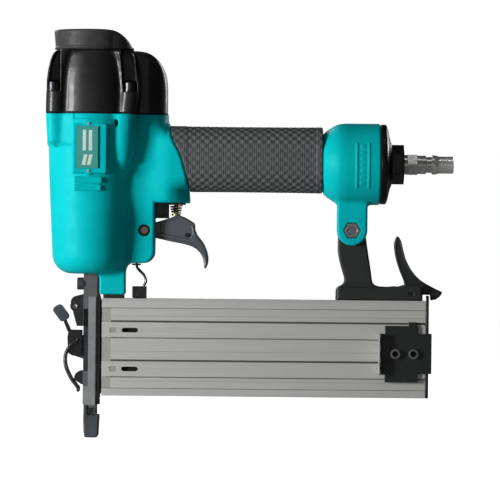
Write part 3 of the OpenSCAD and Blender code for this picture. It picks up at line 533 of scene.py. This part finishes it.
def build_end_cap():
    c = Clay((185, -29, 164), (210.5, 29, 222), FINE)
    dome = curve([(206.0, 27.4), (207.0, 24.6), (207.9, 20.4), (208.8, 17), (209.6, 15)])
    side = outline([(186, 8.1), (186, 19.8), (202, 19.8), (202, 28), (205.4, 28)] + dome + [(209.6, 8.1)])
    c.fill(lambda x, y, z: side(x, ring(y, z, 0, INLET_Z)))
    c.cut(lambda x, y, z: np.maximum(ring(y, z, 0, INLET_Z) - 15, x - 198), (184, -16, 177), (198, 16, 209))
    c.cut(lambda x, y, z: np.maximum(slab(ring(y, z, 0, INLET_Z), 18.4, 21), slab(x, 192, 194.6)),
          (191, -21, 172), (195.5, 21, 214))
    return c.mesh("end_cap_moulding")


# ---------- trigger, arm and lever ----------

TRIGGER_FRONT = curve([(46.7, 139.6), (55.6, 137.6), (65, 135.8), (71.5, 133.6), (75.8, 130), (78.2, 125.4),
                       (79, 119)])
TRIGGER_BACK = curve([(81.6, 122), (82, 126), (81.2, 130.6), (79, 136), (74.8, 141.6), (72.8, 146),
                      (72.4, 149.8), (70.8, 151.4), (65, 154.8), (60.3, 156.1)])
TRIGGER = outline([(46.7, 142.8)] + TRIGGER_FRONT + [(80.2, 119)] + TRIGGER_BACK
                  + [(47, 151.6), (43, 150.6)])

LEVER_BLADE = curve([(219.4, 107.4), (219, 111.4), (216, 118.8), (213.4, 127), (212, 135.6), (212.6, 140),
                     (214.2, 142.8), (216.7, 140), (218.3, 134), (220.4, 126.6), (224.6, 118.8),
                     (230.4, 112.4), (238.8, 107.4), (246, 104)])
LEVER_TAIL = curve([(246, 104), (244.6, 101.2), (241.4, 98.8), (237.9, 98)])
LEVER = outline(LEVER_BLADE + LEVER_TAIL + [(237.6, 101.9), (231, 101.9), (228.6, 99.2)]
                + arc(*LEVER_PIN, 4.2, -60, -180, 8))

ARM_FRONT = curve([(172.6, 140), (172.6, 132), (174.3, 123), (177, 113.6), (176.4, 109.4), (172.6, 105.8)])
ARM_BACK = curve([(213, 106.9), (204, 106.6), (199.6, 107.8), (197, 111), (195.9, 118.2), (193.8, 131),
                  (192.1, 142.4)])
ARM = outline(arc(*ARM_BOLT, 9.6, 0, 180, 14) + ARM_FRONT + [(172, 97.6), (214, 97.6)] + ARM_BACK)


def build_trigger():
    c = Clay((32, -7, 118), (83, 7, 157), FINE * 0.7)
    arm = outline([(37.1, 140.7), (47.5, 139.6), (47.5, 151.4), (37.1, 149.9)]
                  + arc(*TRIGGER_PIN, 4.6, 90, 270, 12))
    half = 6.85
    c.fill(lambda x, y, z: meet(smin(TRIGGER(x, z), arm(x, z), 0.6), np.abs(y) - half, 1.6))
    hollow = outline([(30, 130), (46.4, 130), (46.4, 142), (56, 140.2), (64, 138.4), (70.4, 139.4),
                      (71.2, 146), (69, 162), (30, 162)])
    c.cut(lambda x, y, z: np.maximum(hollow(x, z), np.abs(y) - 4.3), (30, -5, 128), (73, 5, 160), 0.5)
    panel = outline([(48.4, 143.4), (56, 141.8), (64, 140.2), (69, 139.6), (71, 143.2), (70.2, 148.4),
                     (64.6, 152.2), (60.4, 153.8), (48.4, 150.2)])
    c.cut(lambda x, y, z: np.maximum(panel(x, z), half - 0.6 - np.abs(y)), (47, -8, 138), (72, 8, 155), 0.4)
    # groove along the lower edge
    low = curve([(48, 140.6), (57, 138.9), (66, 137.0), (72.4, 134.8), (76.4, 131), (79, 125.4),
                 (80, 120.6)], 4)
    line = outline(low + [(a - 0.2, b + 0.9) for a, b in low[::-1]])
    c.cut(lambda x, y, z: np.maximum(line(x, z), half - 0.5 - np.abs(y)), (47, -8, 120), (81, 8, 142), 0.4)
    c.cut(lambda x, y, z: ring(x, z, *TRIGGER_PIN) - 2.55, (33, -8, 142), (41, 8, 149))
    c.cut(lambda x, y, z: ring(x, z, *FINGER_PIN) - 1.5, (65, -8, 140), (70, 8, 145))
    return c.mesh("trigger_casting")


def build_arm():
    c = Clay((171, -10, 97), (233, 10, 157), FINE)
    base_side = outline([(171.8, ARM_FOOT), (171.8, 104.4)] + arc(174, 104.6, 2.2, 180, 90, 5)
                        + [(204, 106.8), (214, 107.2), (219, 108.6), (230, 108.4)]
                        + arc(230, 106.4, 2.0, 90, 0, 4) + [(232, ARM_FOOT)])

    def casting(x, y, z):
        upper = meet(ARM(x, z), np.abs(y) - 4.7, 1.4)
        base = meet(base_side(x, z), np.abs(y) - 9.5, 1.6)
        return np.maximum(smin(upper, base, 3.0), ARM_FOOT - z)
    c.fill(casting)
    c.cut(lambda x, y, z: rbox(x, y, z, (216.8, -5.3, 90), (245, 5.3, 130), 0.6),
          (216, -6, 96), (234, 6, 112), 0.4)
    c.cut(lambda x, y, z: ring(x, z, *ARM_BOLT) - 3.1, (178, -6, 142), (187, 6, 151))
    c.cut(lambda x, y, z: ring(x, z, *LEVER_PIN) - 1.6, (221, -10, 99), (227, 10, 106))
    c.cut(lambda x, y, z: ring(x, y, BASE_SCREW_X, 0) - 2.1, (205, -3, 96), (211, 3, 110))
    c.cut(lambda x, y, z: np.maximum(ring(x, y, BASE_SCREW_X, 0) - 4.3, 104.8 - z),
          (203, -5, 104), (213, 5, 110), 0.3)
    return c.mesh("arm_casting")


def build_lever():
    c = Clay((211, -5.2, 97.5), (247, 5.2, 144), FINE * 0.7)
    half = 4.95
    c.fill(lambda x, y, z: meet(LEVER(x, z), np.abs(y) - half, 1.3))
    c.cut(lambda x, y, z: np.maximum(np.maximum(LEVER(x, z) + 1.1, 104.5 - z), half - 0.6 - np.abs(y)),
          (212, -6, 105), (244, 6, 143), 0.5)
    c.cut(lambda x, y, z: ring(x, z, *LEVER_PIN) - 1.68, (221, -6, 99), (227, 6, 106))
    c.cut(lambda x, y, z: np.maximum(ring(x, z, *LEVER_PIN) - 3.5, np.abs(y) - 2.4),
          (220, -3, 98), (228, 3, 106))
    return c.mesh("lever_moulding")


def build_tip():
    c = Clay((-5, -8.2, -0.5), (6.8, 8.2, 26.4), FINE * 0.6)
    front = curve([(-4.1, 1.2), (-3.4, 0.2), (-2.4, 0.0)])
    back = curve([(4.0, 0.0), (5.2, 0.5), (5.8, 2)])
    side = outline([(-4.7, 16), (-4.5, 5)] + front + back + [(6.3, 12), (6.4, 16)])
    c.fill(lambda x, y, z: meet(side(x, z), np.abs(y) - 8.0, 1.2))
    c.add(lambda x, y, z: rbox(x, y, z, (-4.6, -8.0, 10), (-1.9, 8.0, 24.4), 0.6),
          (-5, -8, 10), (-1.5, 8, 25), 0.4)
    c.cut(lambda x, y, z: slabs(x, y, z, (-3.42, -6.42, 1.58), (5.22, 6.42, 40)), (-4, -7, 1), (6, 7, 27))
    c.cut(lambda x, y, z: slabs(x, y, z, (-1.6, -4, -3), (1.6, 4, 3)), (-2, -5, -1), (2, 5, 3))
    return c.mesh("no_mar_rubber")


# ---------- small pieces ----------

WINDOWS = (48.4, 75.5)


def build_liner():
    """Black strip of nails behind the two windows."""
    c = Clay((20.5, -9.4, 45.6), (35, -8.5, 78.4), 0.3)
    for z0 in WINDOWS:
        c.add(lambda x, y, z: rbox(x, y, z, (20.8, -9.3, z0 - 2.6), (34.6, -8.6, z0 + 2.6), 0.3),
              (20, -10, z0 - 3), (35, -8, z0 + 3))
        c.cut(lambda x, y, z: np.maximum(np.abs(np.mod(x, 1.2) - 0.6) - 0.18, y + 8.9),
              (20, -10, z0 - 3), (35, -8, z0 + 3), 0.2)
    return c.mesh("window_backing")


def build_flange_edge():
    """Bare steel on the flange's outer face, pale so that it shows as a painted highlight where the light
    falls on the flange.
    """
    c = Clay((201.2, -20.3, 46), (202.8, -12.8, 75), 0.2)
    c.add(lambda x, y, z: rbox(x, y, z, (201.3, -20.1, 46.3), (201.75, -13.2, 74.5), 0.15),
          (201, -21, 46), (202, -12, 75))
    # a strip round the corner, of uneven width, that carries the painted highlight on
    c.add(lambda x, y, z: rbox(x, y, z, (201.3, -20.25, 46.3), (202.5 + 0.25 * np.sin(z * 0.7), -19.85, 74.5),
                               0.15), (201, -21, 46), (203, -19, 75), 0.2)
    return c.mesh("flange_edge_highlight")


def build_print():
    """Plain pale bars in place of the plate's printing."""
    c = Clay((-6, -33.35, 188), (4, -33.1, 216), 0.11)
    bars = [((-5.4, 200.0), (-3.0, 214.4)), ((-1.2, 200.0), (1.2, 214.4))]
    for (x0, z0), (x1, z1) in bars:
        c.add(lambda x, y, z: rbox(x, y, z, (x0, -33.27, z0), (x1, -33.15, z1), 0.05),
              (x0, -33.3, z0), (x1, -33.1, z1))
    for x0 in (-5.2, -1.6):
        def slanted(x, y, z):
            bar = np.maximum(np.abs(x - x0 - 1.2 - 0.22 * (z - 193.6)) - 1.25, slab(z, 190, 197.4))
            return np.maximum(bar, slab(y, -33.27, -33.15))
        c.add(slanted, (x0 - 3, -33.3, 190), (x0 + 6, -33.1, 197.5))
    return c.mesh("plate_print")


def build_socket_shade():
    """Black discs at the bottoms of the bracket screws' sockets: painted shade."""
    c = Clay((210, -15.3, 58), (229, -14.2, 63.4), 0.2)
    for x0 in (212.9, 225.6):
        c.add(lambda x, y, z: np.maximum(ring(x, z, x0, 60.6) - 1.95, slab(y, -15.1, -14.45)),
              (x0 - 2, -15.2, 58), (x0 + 2, -14.4, 63))
    return c.mesh("socket_shade_discs")


# ---------- springs ----------

# The springs that shorten: start, axis, length, first and last radius, wire radius, turns, joint, travel
SPRINGS = {
    "head_valve_spring": ((0, 0, 250.8), (0, 0, 1), 10.4, (23.4, 23.4), 0.7, 4, "head_valve_slide", 4.0),
    "valve_spring": ((VALVE_X, 0, 157.75), (0, 0, 1), 5.1, (3.1, 4.2), 0.5, 3, "valve_stem_slide", 3.6),
    "contact_spring": ((WIRE_X, 0, 122.5), (0, 0, 1), 8.2, (2.4, 2.4), 0.45, 4, "contact_slide", 5.0),
    "pusher_spring": ((28.6, -6.6, 63), (1, 0, 0), 204.8, (2.35, 2.35), 0.35, 30, "pusher_slide", 170.0),
}


def build_spring(name):
    """A coil of round wire."""
    start, axis, length, radii, wire, turns, _, _ = SPRINGS[name]
    along = np.array(axis, float)
    side = np.array((0, 1, 0), float)
    first = np.cross(side, along)
    t = np.linspace(0, 1, 20 * turns + 1)[:, None]
    turn = 2 * np.pi * turns * t
    out = np.cos(turn) * first + np.sin(turn) * side
    centre = np.array(start) + (radii[0] + (radii[1] - radii[0]) * t) * out + length * t * along
    run = np.gradient(centre, axis=0)
    run = run / np.linalg.norm(run, axis=1, keepdims=True)
    across = np.cross(run, out)
    sides = 10
    angles = np.arange(sides) * 2 * math.pi / sides
    rings = [centre + wire * (math.cos(a) * out + math.sin(a) * across) for a in angles]
    points = np.stack(rings, 1).reshape(-1, 3)
    faces = []
    for i in range(len(t) - 1):
        for k in range(sides):
            a, b = i * sides + k, i * sides + (k + 1) % sides
            faces.append((a, b, b + sides, a + sides))
    last = (len(t) - 1) * sides
    faces += [tuple(range(sides))[::-1], tuple(range(last, last + sides))]
    me = bpy.data.meshes.new(name + "_coil")
    me.from_pydata((points * 0.001).tolist(), [], faces)
    me.polygons.foreach_set("use_smooth", np.ones(len(me.polygons), bool))
    ob = bpy.data.objects.new(name + "_coil", me)
    bpy.context.scene.collection.objects.link(ob)
    return ob


def shorten(piece):
    """Gives the spring its own copy of its mesh."""
    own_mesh(piece)


# ---------- pieces ----------

# What each piece is built by, the body it rides on, its material slot and the CAD nodes it replaces
built = {
    "housing": (build_housing, "tool", "teal_paint", ["housing"]),
    "cap": (build_cap, "tool", "black_paint", ["cylinder_cap"]),
    "deflector": (build_deflector, "deflector", "deflector_plastic", ["exhaust_deflector"]),
    "grip": (build_grip, "tool", "rubber", ["grip_sleeve"]),
    "end_cap": (build_end_cap, "tool", "black_paint", ["end_cap"]),
    "trigger": (build_trigger, "trigger_body", "trigger_alloy", ["trigger"]),
    "arm": (build_arm, "tool", "black_paint", ["rear_arm"]),
    "lever": (build_lever, "release_body", "black_plastic", ["release_lever"]),
    "tip": (build_tip, "contact_body", "soft_rubber", ["no_mar_tip"]),
    "liner": (build_liner, "sliding_magazine", "seal_rubber", []),
    "flange_edge": (build_flange_edge, "sliding_magazine", "bright_steel", []),
    "print": (build_print, "tool", "plate", []),
    # black discs of painted shade in the bracket screws' sockets
    "sockets": (build_socket_shade, "sliding_magazine", "seal_rubber", []),
}
for name in SPRINGS:
    body = "sliding_magazine" if name == "pusher_spring" else "tool"
    slot_name = "dark_steel" if name == "valve_spring" else "bright_steel"
    built[name] = (partial(build_spring, name), body, slot_name, [name])
pieces = {}
for key, (make, body, slot_name, gone) in built.items():
    piece = make()
    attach(piece, body)
    if gone:
        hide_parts(*gone)
    if key in SPRINGS:
        shorten(piece)
    pieces[key] = piece


# ---------- materials ----------

class Shade:
    """A Principled material, with its colour, roughness and bump from procedural nodes."""

    def __init__(self, name, color, rough, metal=0.0, **sockets):
        self.material = bpy.data.materials.new(name)
        self.material.use_nodes = True
        self.tree = self.material.node_tree
        self.tree.nodes.clear()
        self.out = self.tree.nodes.new("ShaderNodeOutputMaterial")
        self.bsdf = self.tree.nodes.new("ShaderNodeBsdfPrincipled")
        self.tree.links.new(self.bsdf.outputs[0], self.out.inputs[0])
        self.bsdf.inputs["Metallic"].default_value = metal
        self.bsdf.inputs["Roughness"].default_value = rough
        self.bsdf.inputs["Base Color"].default_value = (*color, 1)
        for key, value in sockets.items():
            self.bsdf.inputs[key.replace("_", " ")].default_value = value
        self.where = self.tree.nodes.new("ShaderNodeTexCoord")
        self.height = None

    def link(self, a, b):
        self.tree.links.new(a, b)

    def node(self, kind, **inputs):
        n = self.tree.nodes.new("ShaderNode" + kind)
        for key, value in inputs.items():
            n.inputs[key.replace("_", " ")].default_value = value
        return n

    def noise(self, scale, detail=4.0, rough=0.5, stretch=(1, 1, 1)):
        place = self.node("Mapping")
        place.inputs["Scale"].default_value = stretch
        self.link(self.where.outputs["Object"], place.inputs["Vector"])
        n = self.node("TexNoise", Scale=scale, Detail=detail, Roughness=rough)
        self.link(place.outputs[0], n.inputs["Vector"])
        return n.outputs["Fac"]

    def ramp(self, value, stops):
        r = self.tree.nodes.new("ShaderNodeValToRGB")
        r.color_ramp.elements[0].position = stops[0][0]
        r.color_ramp.elements[0].color = (*stops[0][1], 1)
        r.color_ramp.elements[1].position = stops[-1][0]
        r.color_ramp.elements[1].color = (*stops[-1][1], 1)
        for position, color in stops[1:-1]:
            e = r.color_ramp.elements.new(position)
            e.color = (*color, 1)
        self.link(value, r.inputs["Fac"])
        return r.outputs["Color"]

    def span(self, value, a, b, lo=0.35, hi=0.65):
        """The value from lo to hi, spread over a to b."""
        n = self.node("MapRange")
        for i, v in zip((1, 2, 3, 4), (lo, hi, a, b)):
            n.inputs[i].default_value = v
        self.link(value, n.inputs[0])
        return n.outputs[0]

    def color(self, socket):
        self.link(socket, self.bsdf.inputs["Base Color"])
        return self

    def rough(self, socket):
        self.link(socket, self.bsdf.inputs["Roughness"])
        return self

    def bump(self, socket, distance, strength=1.0):
        n = self.node("Bump", Strength=strength, Distance=distance)
        self.link(socket, n.inputs["Height"])
        if self.height is not None:
            self.link(self.height, n.inputs["Normal"])
        self.height = n.outputs[0]
        self.link(self.height, self.bsdf.inputs["Normal"])
        return self


def tint(color, k):
    return tuple(max(0.0, min(1.0, c * k)) for c in color)


def paint(name, color, rough, coat, fleck=0.06, wave=0.00004, gloss=0.5, sheen=(1, 1, 1)):
    s = Shade(name, color, rough, Coat_Weight=coat, Coat_Roughness=0.08, Specular_IOR_Level=gloss)
    s.bsdf.inputs["Specular Tint"].default_value = (*sheen, 1)
    n = s.noise(30, 5)
    s.color(s.ramp(n, [(0.35, tint(color, 1 - fleck)), (0.65, tint(color, 1 + fleck))]))
    s.rough(s.span(s.noise(140, 6), rough * 0.85, rough * 1.2))
    s.bump(s.noise(260, 3), wave)
    return s.material


def alloy(name, grooves=False):
    """Satin extruded aluminium: fine lines along X, and painted shade in the grooves between the panels,
    darker the deeper a face sits.
    """
    s = Shade(name, (0.4, 0.4, 0.385), 0.5, metal=0.35)
    lines = s.noise(900, 3, 0.5, (0.012, 1, 1))
    base = s.ramp(lines, [(0.3, (0.56, 0.563, 0.547)), (0.7, (0.61, 0.613, 0.595))])
    if grooves:
        split = s.node("SeparateXYZ")
        s.link(s.where.outputs["Object"], split.inputs[0])
        # painted shade: faces set deeper in Y, in the grooves and the recess, get darker
        deep = s.span(split.outputs[1], 0, 1, -0.012, -0.0096)
        stops = [(0.0, 1.0), (0.09, 1.0), (0.12, 0.66), (0.17, 0.66), (0.21, 1.0), (0.38, 1.0), (0.43, 0.78),
                 (0.5, 0.16), (0.72, 0.16), (0.84, 0.72)]
        groove_shade = s.ramp(deep, [(at, (k, k, k * 0.98)) for at, k in stops])
        mix = s.tree.nodes.new("ShaderNodeMix")
        mix.data_type = "RGBA"
        mix.blend_type = "MULTIPLY"
        mix.inputs[0].default_value = 1
        s.link(base, mix.inputs[6])
        s.link(groove_shade, mix.inputs[7])
        base = mix.outputs[2]
    s.color(base)
    s.rough(s.span(s.noise(500, 4, 0.6, (0.02, 1, 1)), 0.42, 0.58))
    s.bump(s.noise(1400, 3, 0.5, (0.012, 1, 1)), 0.00001)
    return s.material


def rubber_grip(name):
    """Grey rubber with painted light and shade on its pattern: paler on the raised parts and darker between
    them.
    """
    s = Shade(name, (0.08, 0.083, 0.085), 0.6, Specular_IOR_Level=0.35)
    # the raised parts of the pattern carry painted light, the gaps painted shade
    raised = s.node("Attribute")
    raised.attribute_name = "raised"
    add = s.node("Math")
    add.operation = "MULTIPLY_ADD"
    s.link(s.noise(420, 4), add.inputs[0])
    add.inputs[1].default_value = 0.5
    s.link(raised.outputs["Fac"], add.inputs[2])
    s.color(s.ramp(s.span(add.outputs[0], 0, 1, 0.25, 1.25),
                   [(0.0, (0.040, 0.041, 0.040)), (0.5, (0.085, 0.089, 0.090)), (1.0, (0.165, 0.174, 0.178))]))
    s.rough(s.span(s.noise(180, 5), 0.52, 0.68))
    s.bump(s.noise(1100, 3), 0.00004)
    return s.material


# Where the driver guide gets darker: axis, start and end in metres, and how much. The first two rows are
# painted shade, on faces set back from its outer face and right of its raised strip; the last darkens it left
# of X -5.1 mm.
GUIDE_DARKER = ((1, -0.0099, -0.0096, 1.0), (0, 0.0042, 0.0047, 0.8), (0, -0.0051, -0.0054, 0.9))


def guide_steel(name):
    """Phosphated steel with painted shade: darker on faces set back from its outer face and right of its
    raised strip, and darker again left of X -5.1 mm.
    """
    s = Shade(name, (0.13, 0.14, 0.145), 0.42, metal=0.5)
    split = s.node("SeparateXYZ")
    s.link(s.where.outputs["Object"], split.inputs[0])
    total = s.noise(90, 6)
    for axis, start, end, amount in GUIDE_DARKER:
        part = s.span(split.outputs[axis], 0, amount, start, end)
        add = s.node("Math")
        add.operation = "ADD"
        s.link(total, add.inputs[0])
        s.link(part, add.inputs[1])
        total = add.outputs[0]
    s.color(s.ramp(s.span(total, 0, 1, 0.3, 2.4),
                   [(0.0, (0.38, 0.395, 0.40)), (0.18, (0.29, 0.302, 0.308)), (0.42, (0.165, 0.172, 0.176)),
                    (0.6, (0.14, 0.146, 0.15)), (0.8, (0.036, 0.037, 0.038)), (1.0, (0.03, 0.031, 0.032))]))
    s.rough(s.span(s.noise(260, 5), 0.34, 0.5))
    s.bump(s.noise(600, 4), 0.00002)
    return s.material


def steel(name, color, rough, stretch=(1, 1, 1), grain=500, depth=0.00001, metal=1.0):
    s = Shade(name, color, rough, metal=metal)
    s.color(s.ramp(s.noise(60, 6), [(0.3, tint(color, 0.82)), (0.7, tint(color, 1.12))]))
    s.rough(s.span(s.noise(grain, 4, 0.6, stretch), rough * 0.75, rough * 1.35))
    s.bump(s.noise(grain * 1.4, 3, 0.5, stretch), depth)
    return s.material


def plastic(name, color, rough, grain=900, depth=0.00004, spec=0.4):
    s = Shade(name, color, rough, Specular_IOR_Level=spec)
    s.color(s.ramp(s.noise(45, 5), [(0.3, tint(color, 0.85)), (0.7, tint(color, 1.18))]))
    s.rough(s.span(s.noise(180, 5), rough * 0.85, rough * 1.15))
    s.bump(s.noise(grain, 3), depth)
    return s.material


finish = {
    "teal_paint": paint("teal_paint", (0.001, 0.50, 0.53), 0.45, 0.0, gloss=0.16, sheen=(0.2, 0.9, 0.9)),
    "black_paint": paint("black_paint", (0.014, 0.0145, 0.014), 0.42, 0.12, gloss=0.28),
    "deflector_plastic": plastic("deflector_plastic", (0.043, 0.043, 0.0435), 0.55, spec=0.2),
    "black_plastic": plastic("black_plastic", (0.018, 0.020, 0.020), 0.36, depth=0.00002),
    "rubber": rubber_grip("grip_rubber"),
    "soft_rubber": plastic("soft_rubber", (0.056, 0.065, 0.074), 0.5),
    "seal_rubber": plastic("seal_rubber", (0.008, 0.008, 0.008), 0.6, spec=0.15),
    "alloy": alloy("alloy"),
    "cast_alloy": steel("cast_alloy", (0.56, 0.57, 0.58), 0.3),
    "nose_steel": guide_steel("nose_steel"),
    "dark_steel": steel("dark_steel", (0.06, 0.06, 0.065), 0.34),
    "bright_steel": steel("bright_steel", (0.62, 0.62, 0.63), 0.26),
    "nickel": steel("nickel", (0.80, 0.79, 0.77), 0.26, metal=0.6),
    "brass": steel("brass", (0.66, 0.54, 0.34), 0.3),
    "trigger_alloy": plastic("trigger_alloy", (0.078, 0.088, 0.100), 0.36, depth=0.00003, spec=0.6),
    "plate": paint("plate", (0.055, 0.33, 0.29), 0.42, 0.0, gloss=0.2),
}
slots = {s["node"]: s["material_slot"] for s in frame["record"]["subparts"]}
# Pieces, and below them CAD nodes, that don't look like the rest of their slot
own_finish = {
    "print": paint("print", (0.62, 0.72, 0.70), 0.5, 0.0),
    "arm": paint("arm_paint", (0.026, 0.029, 0.027), 0.4, 0.0, gloss=0.3),
    "end_cap": paint("end_cap_paint", (0.007, 0.007, 0.007), 0.3, 0.0, gloss=0.12),
    # pale steel for the painted highlight on the flange's edge
    "flange_edge": steel("edge_highlight_steel", (0.42, 0.42, 0.42), 0.45, depth=0.000004),
}
for key, (_, _, slot_name, _) in built.items():
    pieces[key].data.materials.clear()
    pieces[key].data.materials.append(own_finish.get(key, finish[slot_name]))
for name, node in nodes.items():
    node.data.materials.clear()
    node.data.materials.append(finish[slots[name]])
special = {"magazine_cover": alloy("alloy_cover", grooves=True),
           "nose_door": steel("door_steel", (0.045, 0.046, 0.048), 0.4, metal=0.5),
           "nose_screws": steel("screw_steel", (0.10, 0.103, 0.105), 0.4, metal=0.6),
           "bracket_screws": steel("bracket_screw_steel", (0.20, 0.205, 0.205), 0.36, metal=0.7),
           "door_pin": steel("pin_steel", (0.30, 0.30, 0.30), 0.35),
           "trigger_pin": steel("trigger_pin_steel", (0.20, 0.17, 0.16), 0.45, metal=0.6),
           "trigger_pin_bushes": finish["seal_rubber"],
           "latch_bail": steel("bail_steel", (0.20, 0.205, 0.21), 0.28),
           "contact_wire": steel("wire_steel", (0.12, 0.12, 0.12), 0.3),
           "arm_nut": steel("nut_steel", (0.30, 0.30, 0.30), 0.34, metal=0.6),
           "arm_bolt": steel("bolt_steel", (0.34, 0.34, 0.34), 0.35)}
for name, material in special.items():
    nodes[name].data.materials[0] = material

# Width of each bevel in millimetres
BEVEL = {"driver_guide": 0.55, "nose_door": 0.35, "latch_lever": 0.2, "latch_pad": 0.6,
         "slide_bracket": 0.35, "end_plate": 0.3, "magazine_body": 0.25, "magazine_cover": 0.3,
         "contact_arm": 0.3, "contact_foot": 0.25, "inlet_bushing": 0.4, "air_plug": 0.25,
         "nose_screws": 0.25, "cap_screws": 0.25, "bracket_screws": 0.2, "arm_nut": 0.3,
         "trigger_valve_body": 0.3, "front_spacer": 0.3, "side_plate": 0.15, "cap_gasket": 0.1}
for name, width in BEVEL.items():
    node = nodes[name]
    weld = node.modifiers.new("weld", "WELD")
    weld.merge_threshold = 1e-6
    bevel = node.modifiers.new("bevel", "BEVEL")
    bevel.width = width * 0.001
    bevel.segments = 2
    bevel.limit_method = "ANGLE"
    bevel.angle_limit = math.radians(35)
    bevel.harden_normals = False
    node.data.polygons.foreach_set("use_smooth", np.ones(len(node.data.polygons), bool))
    smooth = node.modifiers.new("weighted", "WEIGHTED_NORMAL")
    smooth.keep_sharp = False


# ---------- floor and light ----------

def make_floor():
    me = bpy.data.meshes.new("floor")
    half, back, r = 6.0, 4.0, 1.0
    bend = [(back + r * math.sin(a), r - r * math.cos(a)) for a in np.linspace(0, math.pi / 2, 12)]
    rows = [(-half, 0.0)] + bend + [(back + r, 5.0)]
    verts = [(x, y, z) for y, z in rows for x in (-half, half)]
    me.from_pydata(verts, [], [(2 * i, 2 * i + 1, 2 * i + 3, 2 * i + 2) for i in range(len(rows) - 1)])
    me.polygons.foreach_set("use_smooth", np.ones(len(me.polygons), bool))
    ob = bpy.data.objects.new("floor", me)
    bpy.context.scene.collection.objects.link(ob)
    s = Shade("floor", (0.24, 0.24, 0.24), 0.7, Specular_IOR_Level=0.1)
    s.color(s.ramp(s.noise(3, 2), [(0.3, (0.295, 0.295, 0.295)), (0.7, (0.305, 0.305, 0.305))]))
    s.bsdf.inputs["Emission Color"].default_value = (1, 1, 1, 1)
    path = s.node("LightPath")
    s.link(path.outputs["Is Camera Ray"], s.bsdf.inputs["Emission Strength"])
    me.materials.append(s.material)
    ob.location.z = -0.0002


def area(name, place, target, size, power, color=(1, 1, 1)):
    data = bpy.data.lights.new(name, "AREA")
    data.shape = "RECTANGLE"
    data.size, data.size_y = size
    data.energy = power
    data.color = color
    ob = bpy.data.objects.new(name, data)
    ob.location = place
    ob.rotation_euler = (Vector(target) - Vector(place)).to_track_quat("-Z", "Y").to_euler()
    ob.visible_camera = False
    bpy.context.scene.collection.objects.link(ob)


def make_world():
    world = bpy.data.worlds.new("world")
    bpy.context.scene.world = world
    world.use_nodes = True
    tree = world.node_tree
    soft = tree.nodes["Background"]
    soft.inputs[0].default_value = (1, 1, 1, 1)
    soft.inputs[1].default_value = 0.03
    seen = tree.nodes.new("ShaderNodeBackground")
    seen.inputs[0].default_value = (1, 1, 1, 1)
    seen.inputs[1].default_value = 1.02
    path = tree.nodes.new("ShaderNodeLightPath")
    mix = tree.nodes.new("ShaderNodeMixShader")
    tree.links.new(path.outputs["Is Camera Ray"], mix.inputs[0])
    tree.links.new(soft.outputs[0], mix.inputs[1])
    tree.links.new(seen.outputs[0], mix.inputs[2])
    tree.links.new(mix.outputs[0], tree.nodes["World Output"].inputs[0])


make_floor()
make_world()
area("key", (-1.13, -0.75, 0.24), (0.07, 0, 0.14), (0.34, 0.4), 23.5)
area("left_rim", (-1.25, 0.12, 0.3), (0.05, 0, 0.15), (0.08, 0.8), 0.4)
area("top_strip", (0.0, -0.35, 1.25), (0.1, 0, 0.15), (0.8, 0.07), 1.1)
area("front_fill", (-0.1, -1.7, 0.1), (0.1, 0, 0.14), (0.9, 0.6), 1.15)
area("back_left", (-0.6, 1.2, 0.7), (0.08, 0, 0.12), (0.8, 0.6), 8)
area("back_right", (1.1, 1.1, 0.55), (0.08, 0, 0.12), (0.6, 0.6), 9)
scene = bpy.context.scene
scene.view_settings.view_transform = "Standard"
